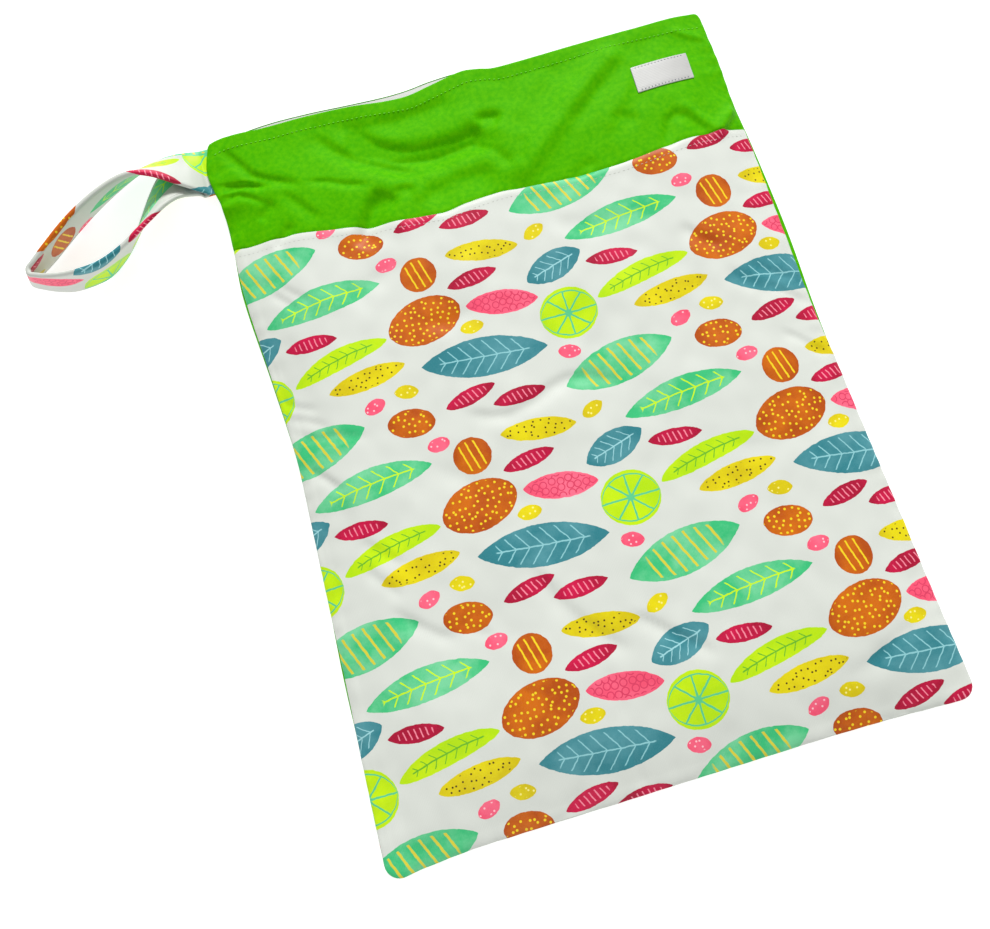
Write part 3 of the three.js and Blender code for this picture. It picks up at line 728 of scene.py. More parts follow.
@dataclass(frozen=True)
class PrintedKnit:
    """Heat printed polyester knit: white ground with leaves, pods and pebbles in chalky ink."""

    name: str = "printed polyester knit"
    ground: str = "#d6dad2"
    repeat: tuple[float, float] = (168.0, 104.0)
    motifs: tuple[Motif, ...] = (
        Motif(33.4, 10.3, 9, 62, 23, 0.8, MINT, "#d8cc3c", Mark.BARS, pitch=6.0),
        Motif(88, 10, -8, 25, 16, 0.5, ORANGE, "#f0d21e", Mark.SPOTS),
        Motif(121.3, 15, 12, 29, 9, 0.7, CRIMSON, "#f58ca0", Mark.BARS, pitch=2.9),
        Motif(146, 8, 3, 29, 9, 0.7, CRIMSON, "#f58ca0", Mark.BARS, pitch=2.9),
        Motif(72, 24, 20, 12, 8, 0.5, PINK, "#ffc4cc", Mark.SPOTS, "specks"),
        Motif(90, 27, -10, 13, 8, 0.6, YELLOW, "#faf08c", Mark.SPOTS, "specks"),
        Motif(134.7, 33.8, -6, 68, 22, 0.85, TEAL, "#8cc8cd", Mark.VEINS, pitch=7.0),
        Motif(72, 40, 6, 43, 12, 0.65, YELLOW, "#4b3200", Mark.SPOTS, "specks"),
        Motif(16.3, 44, 0, 31, 29, 0.5, LIME, "#5ac88c", Mark.SEGMENTS),
        Motif(60.2, 54.9, 11, 55, 12, 0.6, LIME, "#64b428", Mark.VEINS, pitch=5.5, bend=2.2),
        Motif(109.7, 62.2, 10, 41, 26, 0.55, ORANGE, "#f0d21e", Mark.SPOTS),
        Motif(152.2, 60.5, -9, 39, 14, 0.7, PINK, "#d83c5f", Mark.SPOTS, "rings"),
        Motif(16.5, 71.9, 16, 34, 17, 0.75, TEAL, "#9bd2d7", Mark.VEINS, pitch=5.0),
        Motif(48, 67.9, -4, 29, 9, 0.7, CRIMSON, "#f58ca0", Mark.BARS, pitch=2.9),
        Motif(59.4, 89.2, 5, 66, 17, 0.8, MINT, "#c8f000", Mark.VEINS, pitch=7.5, bend=1.6),
        Motif(113.4, 88.3, 0, 20, 20, 0.5, ORANGE, "#f0d21e", Mark.BARS, pitch=4.2),
        Motif(140.5, 78, 8, 29, 9, 0.7, CRIMSON, "#f58ca0", Mark.BARS, pitch=2.9),
        Motif(150, 92, -7, 40, 12, 0.65, YELLOW, "#4b3200", Mark.SPOTS, "specks"),
        Motif(98.3, 99, 5, 12, 8, 0.5, PINK, "#ffc4cc", Mark.SPOTS, "specks"),
        Motif(12, 94, 25, 13, 8, 0.6, YELLOW, "#faf08c", Mark.SPOTS, "specks"),
        Motif(10.3, 23.4, -15, 12, 8, 0.5, PINK, "#ffc4cc", Mark.SPOTS, "specks"),
        Motif(132.9, 51.6, 0, 13, 8, 0.6, YELLOW, "#faf08c", Mark.SPOTS, "specks"),
    )

    def motif_group(self, mark: Mark) -> bpy.types.NodeTree:
        """Make the node group that paints one motif over what is under it.

        Args:
            mark: what is drawn inside the motif.

        Returns:
            The group, with places in millimetres from the motif's middle.
        """
        tree = bpy.data.node_groups.new(f"printed motif with {mark.value}", "ShaderNodeTree")
        floats = ("Length", "Height", "Taper", "Pitch", "Bend", "Wash", "Pattern")
        colours = ("Under", "Paint", "Deep Paint", "Ink")
        tree.interface.new_socket("Place", in_out="INPUT", socket_type="NodeSocketVector")
        for title in floats:
            tree.interface.new_socket(title, in_out="INPUT", socket_type="NodeSocketFloat")
        for title in colours:
            tree.interface.new_socket(title, in_out="INPUT", socket_type="NodeSocketColor")
        tree.interface.new_socket("Colour", in_out="OUTPUT", socket_type="NodeSocketColor")
        recipe = Recipe(tree)
        start = recipe.add("start", "NodeGroupInput")
        for title in ("Place", *floats, *colours):
            recipe.made[title] = start.outputs[title]
        apart = recipe.add("apart", "ShaderNodeSeparateXYZ", ("Place",))
        recipe.made["x"] = apart.outputs[0]
        recipe.add_all(
            MATH,
            ("half length", "MULTIPLY", "Length", 0.5),
            ("u", "DIVIDE", "x", "half length"),
            ("u2", "MULTIPLY", "u", "u"),
            ("droop", "MULTIPLY", "u2", "Bend"),
            ("y", "ADD", apart.outputs[1], "droop"),
        )
        recipe.add("left over", MATH, (1.0, "u2"), operation="SUBTRACT", use_clamp=True)
        recipe.add_all(
            MATH,
            ("narrow", "POWER", "left over", "Taper"),
            ("half", "MULTIPLY", "Height", "narrow"),
            ("off line", "ABSOLUTE", "y"),
            ("inside", "MULTIPLY_ADD", "half", 0.5, -0.2),
            ("depth", "SUBTRACT", "inside", "off line"),
        )
        recipe.add("body", RANGE, {0: "depth", 1: -0.1, 2: 0.12}, interpolation_type="SMOOTHSTEP")
        recipe.add("well in", RANGE, {0: "depth", 1: 0.9, 2: 1.15})
        self.add_mark(recipe, mark)
        recipe.add("far", MATH, ("u2", "u2"), operation="MULTIPLY")
        recipe.add("deeper", MATH, ("far", 0.6, "Wash"), operation="MULTIPLY_ADD", use_clamp=True)
        recipe.add("paint", MIX, {0: "deeper", 6: "Paint", 7: "Deep Paint"}, 2, data_type="RGBA")
        recipe.add("marked", MIX, {0: "mark", 6: "paint", 7: "Ink"}, 2, data_type="RGBA")
        recipe.add("all", MIX, {0: "body", 6: "Under", 7: "marked"}, 2, data_type="RGBA")
        recipe.add("end", "NodeGroupOutput", {"Colour": "all"})
        return tree

    def add_mark(self, recipe: Recipe, mark: Mark) -> None:
        """Add the steps for what is drawn inside a motif.

        Args:
            recipe: the group's recipe, where the step "mark" is left.
            mark: what is drawn.
        """
        if mark is Mark.SPOTS:
            recipe.add("mark", MATH, ("Pattern", "well in"), operation="MULTIPLY")
            return
        if mark is Mark.SEGMENTS:
            recipe.add("from middle", VECTOR, ("Place",), "Value", operation="LENGTH")
            recipe.add_all(
                MATH,
                ("turn", "ARCTAN2", "y", "x"),
                ("eight", "MULTIPLY", "turn", 4.0),
                ("wave", "SINE", "eight"),
                ("near spoke", "ABSOLUTE", "wave"),
                ("off spoke", "MULTIPLY", "near spoke", "from middle"),
                ("off rind", "ADD", "depth", -2.2),
                ("rind", "ABSOLUTE", "off rind"),
            )
            recipe.add("spoke", RANGE, {0: "off spoke", 1: 2.2, 2: 1.6})
            recipe.add("flesh", RANGE, {0: "depth", 1: 2.3, 2: 2.6})
            recipe.add("rind line", RANGE, {0: "rind", 1: 0.5, 2: 0.3})
            recipe.add_all(MATH, ("spokes", "MULTIPLY", "spoke", "flesh"),
                           ("mark", "MAXIMUM", "spokes", "rind line"))
            return
        veined = mark is Mark.VEINS
        slanting, slope, thin = ("off line", 0.8, 0.055) if veined else ("y", 0.25, 0.11)
        recipe.add_all(
            MATH,
            ("slant", "MULTIPLY_ADD", slanting, slope, "x"),
            ("half pitch", "MULTIPLY", "Pitch", 0.5),
            ("minus half", "MULTIPLY", "Pitch", -0.5),
            ("nearest", "WRAP", "slant", "half pitch", "minus half"),
            ("off bar", "ABSOLUTE", "nearest"),
            ("bar half", "MULTIPLY", "Pitch", thin),
            ("bar depth", "SUBTRACT", "bar half", "off bar"),
        )
        recipe.add("bar", RANGE, {0: "bar depth", 1: -0.12, 2: 0.12})
        recipe.add("mid", RANGE, {0: "u2", 1: 0.52 if veined else 0.4, 2: 0.48 if veined else 0.36})
        recipe.add("room", RANGE, {0: "depth", 1: 1.6, 2: 1.9})
        recipe.add("bars", MATH, ("bar", "room"), operation="MULTIPLY")
        if veined:
            recipe.add("rib", RANGE, {0: "off line", 1: 0.45, 2: 0.25})
            recipe.add_all(MATH, ("bars and rib", "MAXIMUM", "bars", "rib"),
                           ("mark", "MULTIPLY", "bars and rib", "mid"))
        else:
            recipe.add("mark", MATH, ("bars", "mid"), operation="MULTIPLY")

    def build(self) -> bpy.types.Material:
        """Make the material, with its repeat at the real size on the flat cloth.

        Returns:
            The printed knit, with wales drawn at 0.8 mm so that they can show at all.
        """
        material, recipe = new_material(self.name)
        groups = {mark: self.motif_group(mark) for mark in Mark}
        recipe.add("uv", "ShaderNodeUVMap", uv_map="cloth")
        recipe.add("flat", VECTOR, {0: "uv", "Scale": 1000.0}, operation="SCALE")
        recipe.add("brush", NOISE, {"Vector": "flat", "Scale": 0.35, "Detail": 2.0}, "Color")
        recipe.add("waver", VECTOR, ("brush", (0.9, 0.9, 0.0), "flat"), operation="MULTIPLY_ADD")
        recipe.add("wash noise", NOISE, {"Vector": "flat", "Scale": 0.045, "Detail": 5.0,
                                         "Roughness": 0.6})
        recipe.add("Wash", RANGE, {0: "wash noise", 1: 0.38, 2: 0.62})
        for name, pitch, low, high in (("dots", 3.5, 0.21, 0.16), ("specks", 3.4, 0.17, 0.12)):
            spots = recipe.add(name + " cell", "ShaderNodeTexVoronoi", {
                "Vector": "flat", "Scale": 1 / pitch, "Randomness": 0.75}, voronoi_dimensions="2D")
            recipe.add(name, RANGE, {0: spots.outputs["Distance"], 1: low, 2: high})
        rings = recipe.add("ring cell", "ShaderNodeTexVoronoi", {
            "Vector": "flat", "Scale": 1 / 4.2, "Randomness": 0.3}, voronoi_dimensions="2D")
        recipe.add("off ring", MATH, (rings.outputs["Distance"], 0.42), operation="SUBTRACT")
        recipe.add("ring", MATH, ("off ring",), operation="ABSOLUTE")
        recipe.add("rings", RANGE, {0: "ring", 1: 0.09, 2: 0.05})
        under: object = linear_colour(self.ground)
        half = np.array((self.repeat[0] / 2, self.repeat[1] / 2, 0.5))
        for index, motif in enumerate(self.motifs):
            middle = np.array((motif.x, motif.y, 0.0))
            recipe.add("near", VECTOR, ("waver", tuple(middle + half), tuple(middle - half)),
                       operation="WRAP")
            recipe.add("place", "ShaderNodeMapping", {
                "Vector": "near", "Location": tuple(middle),
                "Rotation": (0, 0, math.radians(motif.turn))}, vector_type="TEXTURE")
            group = recipe.add(f"motif {index}", "ShaderNodeGroup", {
                "Place": "place", "Length": motif.length, "Height": motif.height,
                "Taper": motif.taper, "Pitch": motif.pitch, "Bend": motif.bend,
                "Wash": "Wash", "Pattern": motif.pattern, "Under": under,
                "Paint": linear_colour(motif.paint[0]),
                "Deep Paint": linear_colour(motif.paint[1]), "Ink": linear_colour(motif.ink),
            }, node_tree=groups[motif.mark])
            under = group.outputs["Colour"]
        recipe.made["print"] = under
        recipe.add("chalk", NOISE, {"Vector": "flat", "Scale": 1.4, "Detail": 2.0})
        recipe.add("chalk share", RANGE, {0: "chalk", 1: 0.3, 2: 0.7, 3: 0.0, 4: 0.02})
        recipe.add("ink", MIX, {0: "chalk share", 6: "print", 7: linear_colour("#e6e6e4")}, 2,
                   data_type="RGBA")
        add_knit_relief(recipe, 0.000006)
        recipe.add("surface", "ShaderNodeBsdfPrincipled", {
            "Base Color": "ink", "Roughness": 0.42, "Specular IOR Level": 0.14, "Normal": "relief",
        })
        recipe.add("out", "ShaderNodeOutputMaterial", {"Surface": "surface"})
        return material


@dataclass(frozen=True)
class Thread:
    """Spun polyester sewing thread: two plies that show as a fine slanting twist."""

    name: str
    colour: str

    def build(self) -> bpy.types.Material:
        """Make the material, with the twist of the plies at 0.35 mm."""
        material, recipe = new_material(self.name)
        recipe.add("spot", "ShaderNodeTexCoord", output="Object")
        recipe.add("twist", "ShaderNodeTexWave", {"Vector": "spot", "Scale": 450.0,
                                                  "Distortion": 1.5}, 1, bands_direction="DIAGONAL")
        recipe.add("relief", "ShaderNodeBump", {"Distance": 0.00005, "Height": "twist"})
        recipe.add("surface", "ShaderNodeBsdfPrincipled", {
            "Base Color": linear_colour(self.colour), "Roughness": 0.55, "Sheen Weight": 0.02,
            "Normal": "relief",
        })
        recipe.add("out", "ShaderNodeOutputMaterial", {"Surface": "surface"})
        return material


@dataclass(frozen=True)
class LabelSatin:
    """Woven polyester satin ribbon: white, with fine weft lines and a soft shine."""

    name: str = "woven satin ribbon"

    def build(self) -> bpy.types.Material:
        """Make the material, with weft lines drawn at 0.5 mm, coarser than real ones."""
        material, recipe = new_material(self.name)
        recipe.add("uv", "ShaderNodeUVMap", uv_map="cloth")
        recipe.add("weft", "ShaderNodeTexWave", {"Vector": "uv", "Scale": 314.0,
                                                 "Distortion": 0.4}, 1, bands_direction="Y")
        recipe.add("relief", "ShaderNodeBump", {"Distance": 0.00003, "Height": "weft"})
        recipe.add("cloud", NOISE, {"Vector": "uv", "Scale": 160.0})
        recipe.add("dye", MIX, {0: "cloud", 6: linear_colour("#b1b1ae"),
                                7: linear_colour("#b9b9b6")}, 2, data_type="RGBA")
        recipe.add("surface", "ShaderNodeBsdfPrincipled", {
            "Base Color": "dye", "Roughness": 0.45, "Sheen Weight": 0.2, "Normal": "relief",
        })
        recipe.add("out", "ShaderNodeOutputMaterial", {"Surface": "surface"})
        return material


@dataclass(frozen=True)
class Backdrop:
    """Matt white studio paper."""

    name: str = "white studio paper"

    def build(self) -> bpy.types.Material:
        """Make the material, with the faint grain of paper."""
        material, recipe = new_material(self.name)
        recipe.add("spot", "ShaderNodeTexCoord", output="Object")
        recipe.add("grain", NOISE, {"Vector": "spot", "Scale": 300.0})
        recipe.add("dye", MIX, {0: "grain", 6: linear_colour("#bebebd"),
                                7: linear_colour("#c4c4c3")}, 2, data_type="RGBA")
        recipe.add("surface", "ShaderNodeBsdfPrincipled", {
            "Base Color": "dye", "Roughness": 0.9, "Specular IOR Level": 0.1,
            "Emission Color": (1.0, 1.0, 1.0, 1.0), "Emission Strength": 0.75,
        })
        recipe.add("out", "ShaderNodeOutputMaterial", {"Surface": "surface"})
        return material


@dataclass
class Panels:
    """The three cloths of the pouch: back, printed front and top band."""

    form: BagForm
    plain: bpy.types.Material
    printed: bpy.types.Material
    film: bpy.types.Material
    cell: float = 1.7
    band_cell: float = 1.35
    back_cell: float = 3.0
    band_length: float = 77.0
    fine_reach: float = 9.6
    fine_row: float = 0.8
    wide_rows: int = 72
    back_radius: float = 0.7
    shown_radius: float = 1.2
    back_angle: float = 12.0
    shown_angle: float = 90.0
    lip_angle: float = -10.0
    bottom_inset: float = 0.9
    back_shifts: tuple[float, float] = (0.8, 1.6)
    crowding: float = 0.35
    roll: float = 1.35
    wall: float = 0.9
    back_wall: float = 0.6
    tucked: float = 0.9
    corner_rows: int = 7
    yielding: float = 8.0
    roll_angles: tuple[float, ...] = (60, 42, 24, 6, -10, -25)

    def columns(self, cells: int) -> np.ndarray:
        """Shares across a panel, crowded towards its side seams."""
        across = np.linspace(0, 1, cells + 1)
        return across - self.crowding * np.sin(2 * np.pi * across) / (2 * np.pi)

    def plan(self, rows_of: Callable, cells: int, front: bool) -> tuple[np.ndarray, np.ndarray]:
        """Places in plan of a panel's grid.

        Args:
            rows_of: gives the rows' places along the bag for nominal places across it.
            cells: how many cells the panel has across.
            front: whether it is a piece of the front.

        Returns:
            Places across and along the bag, rows by columns.
        """
        crowded = self.columns(cells)
        nominal = (crowded - 0.5) * self.form.width
        y = rows_of(nominal)
        left, right = self.form.edges(np.broadcast_to(nominal, y.shape), y, front)
        return left + (right - left) * crowded, y

    def from_bottom(self, nominal: np.ndarray, high: np.ndarray, cells: int) -> np.ndarray:
        """Rows of a panel that starts at the bottom: the first ones turn round the corners."""
        rows = np.arange(cells + 1)[:, None]
        turn = np.minimum(rows / self.corner_rows, 1) * math.pi / 2
        rest = np.maximum(rows - self.corner_rows, 0) / (cells - self.corner_rows)
        start = self.form.cross(Edge.BOTTOM, nominal) + self.form.corner * (1 - np.cos(turn))
        return start + (high - start) * rest

    def give_way(self, x: np.ndarray, y: np.ndarray, shifts: tuple[float, float],
                 front: bool) -> tuple[np.ndarray, np.ndarray]:
        """Move a panel's points in near its outline, to leave room for the rolled edge.

        Args:
            x: places across the bag.
            y: places along the bag.
            shifts: how far the sides and the bottom move in, in millimetres.
            front: whether it is a piece of the front.

        Returns:
            The new places across and along the bag.
        """
        left, right = self.form.edges(x, y, front)
        top = self.form.cross(Edge.LIP if front else Edge.BACK_LIP, x)
        gaps = (x - left, right - x, y - self.form.cross(Edge.BOTTOM, x), top - y)
        side, bottom = shifts
        moves = [shift * np.clip(1 - gap / self.yielding, 0, 1)
                 for shift, gap in zip((side, side, bottom, side), gaps)]
        return x + moves[0] - moves[1], y + moves[2] - moves[3]

    def roll_round(self, x: np.ndarray, y: np.ndarray,
                   spots: tuple) -> tuple[Patch, Patch, np.ndarray]:
        """Draw a front piece in along its outline, raise it, and roll its edge over.

        Args:
            x: places across the bag.
            y: places along the bag.
            spots: rows and columns of the outline, clockwise.

        Returns:
            The panel, its rolled edge, and the outline's normals.
        """
        path = np.column_stack([x[spots], y[spots]])
        normals = outward(path, clockwise=True)
        shift = self.roll * (1 - math.cos(math.radians(self.roll_angles[0])))
        x, y = self.give_way(x, y, (shift, shift), True)
        x[spots], y[spots] = (path - normals * shift).T
        z = self.form.front_height(x, y)
        angles = np.radians(self.roll_angles)[:, None] * np.ones(len(path))
        flat = np.dstack([x, y])
        edge = rolled_edge(path, normals, z[spots], np.full(len(path), self.roll), angles,
                           flat[spots])
        return Patch(np.dstack([x, y, z]), flat), edge, normals

    def front_panel(self) -> bpy.types.Object:
        """Make the printed front, from the bottom seam to the join with the band."""
        form = self.form
        across, along = round(form.width / self.cell), round(0.8 * form.length / self.cell)

        def rows_of(nominal: np.ndarray) -> np.ndarray:
            """Rows from the bottom seam up to the join."""
            return self.from_bottom(nominal, form.cross(Edge.JOIN, nominal) - 0.02, along)

        x, y = self.plan(rows_of, across, front=True)
        spots = walk((along, across), (0, across), (0, 0), (along, 0))
        panel, edge, _ = self.roll_round(x, y, spots)
        return sew_sheet("front_panel_cloth", [panel, edge, self.tuck(panel, -1, -1)],
                         self.wall, [self.printed, self.film])

    def tuck(self, panel: Patch, row: int, toward: int) -> Patch:
        """Turn a panel's edge down into the join, so that no gap shows there."""
        top = panel.points[row].copy()
        low = top.copy()
        low[:, 2] -= self.tucked
        flat = panel.flat[row]
        rows = [top, low] if toward < 0 else [low, top]
        shift = np.array((0, self.tucked))
        flats = [flat, flat + shift] if toward < 0 else [flat - shift, flat]
        return Patch(np.stack(rows), np.stack(flats))

    def top_band(self) -> bpy.types.Object:
        """Make the band, from the join to the lip, with its turned hem inside the mouth."""
        form = self.form
        across = round(form.width / self.band_cell)
        fine = np.arange(0, self.fine_reach + self.fine_row, self.fine_row) / self.band_length
        wide = np.linspace(1 - fine[-1], 0, self.wide_rows)
        shares = np.concatenate([1 - fine[:-1], wide])[::-1, None]

        def rows_of(nominal: np.ndarray) -> np.ndarray:
            """Rows from the join up to the lip, which is round at its two corners."""
            join = form.cross(Edge.JOIN, nominal) + 0.02
            # The lip's roll reaches further out at both of its corners.
            roll = 0.8 + 1.8 * smooth_step(nominal, 105, 140) + smooth_step(-nominal, 136, 148)
            lip = form.cross(Edge.LIP, nominal) - form.lip_drop(nominal, form.lip_corner) + roll
            return join + (lip - join) * shares

        x, y = self.plan(rows_of, across, front=True)
        last_row = len(shares) - 1
        spots = walk((0, 0), (last_row, 0), (last_row, across), (0, across))
        panel, edge, normals = self.roll_round(x, y, spots)
        hem = self.turned_hem(edge, normals, slice(last_row, last_row + across + 1))
        return sew_sheet("top_band_cloth", [panel, edge, self.tuck(panel, 0, 1), hem],
                         self.wall, [self.plain, self.film])

    def turned_hem(self, edge: Patch, normals: np.ndarray, lip: slice) -> Patch:
        """Carry the lip's roll on, under and back, as the inside of the hem."""
        start, flat, normals = edge.points[-1, lip], edge.flat[-1, lip], normals[lip]
        rows, flats = [start], [flat]
        floor = self.form.cloth + 0.3
        for inward, drop in ((0.9, 0.25), (2.4, 0.4), (4.2, 0.4), (self.form.hem - 0.4, 0.4)):
            row = start.copy()
            row[:, :2] -= normals * inward
            under = self.form.front_height(row[:, 0], row[:, 1]) - self.wall - drop
            row[:, 2] = np.maximum(np.minimum(start[:, 2] - drop, under), floor)
            rows.append(row)
            flats.append(flat + normals * inward)
        return Patch(np.stack(rows), np.stack(flats))

    def back_panel(self) -> bpy.types.Object:
        """Make the back: flat on the floor, with its edges rolled up to the seams."""
        form = self.form
        across = round(form.width / self.back_cell)
        along = round(form.length / self.back_cell)

        def rows_of(nominal: np.ndarray) -> np.ndarray:
            """Rows from the bottom seam to the back's own lip."""
            lip = form.cross(Edge.BACK_LIP, nominal) + 0.8
            return self.from_bottom(nominal, lip - form.lip_drop(nominal, form.back_corner), along)

        x, y = self.plan(rows_of, across, front=False)
        rows, columns = walk((0, 0), (0, across), (along, across), (along, 0), (0, 0))
        spots = (rows, columns)
        path = np.column_stack([x[spots], y[spots]])
        normals = outward(path, clockwise=False)
        left, right = (read_table(SIDE_EDGES, i, path[:, 1] / form.length) for i in (3, 4))
        shown = np.where(path[:, 0] < 0, left, right)
        shown = np.clip(shown, 0, 1) * np.abs(normals[:, 0])
        lip = (rows == along) & (columns > 0) & (columns < across)
        bottom = np.clip(-normals[:, 1], 0, 1) * (rows < self.corner_rows)
        path = path - normals * (self.bottom_inset * bottom)[:, None]
        # Where the back shows beside the front, its edge rolls up further.
        radius = self.back_radius + (self.shown_radius - self.back_radius) * shown
        rolled = self.shown_angle - self.back_angle
        last = np.where(lip, self.lip_angle, self.back_angle + rolled * smooth_step(shown, 0.0, 0.35))
        steps = np.linspace(0, 1, 9)[:, None]
        angles = np.radians(-90 + steps * (last + 90))
        drawn = path - normals * radius[:, None]
        x, y = self.give_way(x, y, self.back_shifts, False)
        x[spots], y[spots] = drawn.T
        flat = np.dstack([x, y])
        edge = rolled_edge(path, normals, np.zeros(len(path)), radius, angles, flat[spots])
        # The edge goes on under the front, and at the lip it turns in a little.
        inner = edge.points[-1].copy()
        inner[:, :2] -= normals * (form.reveal * shown + 0.5)[:, None]
        inner[:, 2] = np.maximum(inner[:, 2] - 0.5, 1.05)
        inner[lip] = edge.points[-1][lip]
        inner[lip, 2] += 0.1
        inner[lip, :2] -= normals[lip] * 0.2
        tail = Patch(np.stack([edge.points[-1], inner]),
                     np.stack([edge.flat[-1], edge.flat[-1] + normals * 1.5]))
        panel = Patch(np.dstack([x, y, np.zeros_like(x)])[:, ::-1], flat[:, ::-1])
        return sew_sheet("back_panel_cloth", [panel, edge, tail], self.back_wall,
                         [self.plain, self.film])

    def build(self) -> None:
        back = self.back_panel()
        into_place(back, "plain_knit", "back_panel")
        front = self.front_panel()
        into_place(front, "printed_knit", "front_panel")
        band = self.top_band()
        into_place(band, "plain_knit", "top_band")


@dataclass
class Label:
    """The blank woven label, turned under all round and sewn on the band."""

    form: BagForm
    satin: bpy.types.Material
    width: float = 34.2
    length: float = 16.9
    cloth: float = 0.5
    x: float = 110.1
    y: float = 165.6
    turn: float = 2.6
    skew: float = 0.1
    edge_radius: float = 0.28
    cells: tuple[int, int] = (47, 24)
    roll_angles: tuple[float, ...] = (90, 60, 30, 0, -40)

    def axes(self) -> np.ndarray:
        """The label's own two directions in plan: turned, and a little askew as sewn."""
        angle = math.radians(self.turn)
        return np.array([(math.cos(angle), self.skew - math.sin(angle)),
                         (math.sin(angle), math.cos(angle))])

    def place(self, across: np.ndarray, along: np.ndarray) -> tuple[np.ndarray, np.ndarray]:
        """Plan of a point given from the label's own middle."""
        (ax, bx), (ay, by) = self.axes()
        return self.x + ax * across + bx * along, self.y + ay * across + by * along

    def height_at(self, x: np.ndarray, y: np.ndarray) -> np.ndarray:
        """Height of the label's top for places on the bag."""
        across, along = np.linalg.inv(self.axes()) @ np.stack([x - self.x, y - self.y])
        return self.height(across, along)

    def height(self, across: np.ndarray, along: np.ndarray) -> np.ndarray:
        """Height of the label's top, puffed up a little between its stitches."""
        inside = np.minimum(self.width / 2 - np.abs(across), self.length / 2 - np.abs(along))
        puff = 0.05 * smooth_step(inside, 1.0, 3.5) - 0.06 * np.exp(-((inside - 1.1) / 0.5) ** 2)
        return self.form.front_height(*self.place(across, along)) + self.cloth + 0.1 + puff

    def build(self) -> None:
        """Make the label, with its edge rolled down to the band."""
        last_column, last_row = self.cells
        half_x = self.width / 2 - self.edge_radius
        half_y = self.length / 2 - self.edge_radius
        across, along = np.meshgrid(np.linspace(-half_x, half_x, last_column + 1),
                                    np.linspace(-half_y, half_y, last_row + 1))
        x, y = self.place(across, along)
        z = self.height(across, along)
        spots = walk((0, 0), (last_row, 0), (last_row, last_column), (0, last_column), (0, 0))
        path = np.column_stack([x[spots], y[spots]])
        normals = outward(path, clockwise=True)
        flat = np.dstack([across, along])
        angles = np.radians(self.roll_angles)[:, None] * np.ones(len(path))
        edge = rolled_edge(path + normals * self.edge_radius, normals, z[spots],
                           np.full(len(path), self.edge_radius), angles, flat[spots])
        piece = sew_sheet("label_cloth", [Patch(np.dstack([x, y, z]), flat), edge],
                          self.cloth * 0.7, [self.satin])
        into_place(piece, "label_satin", "label")


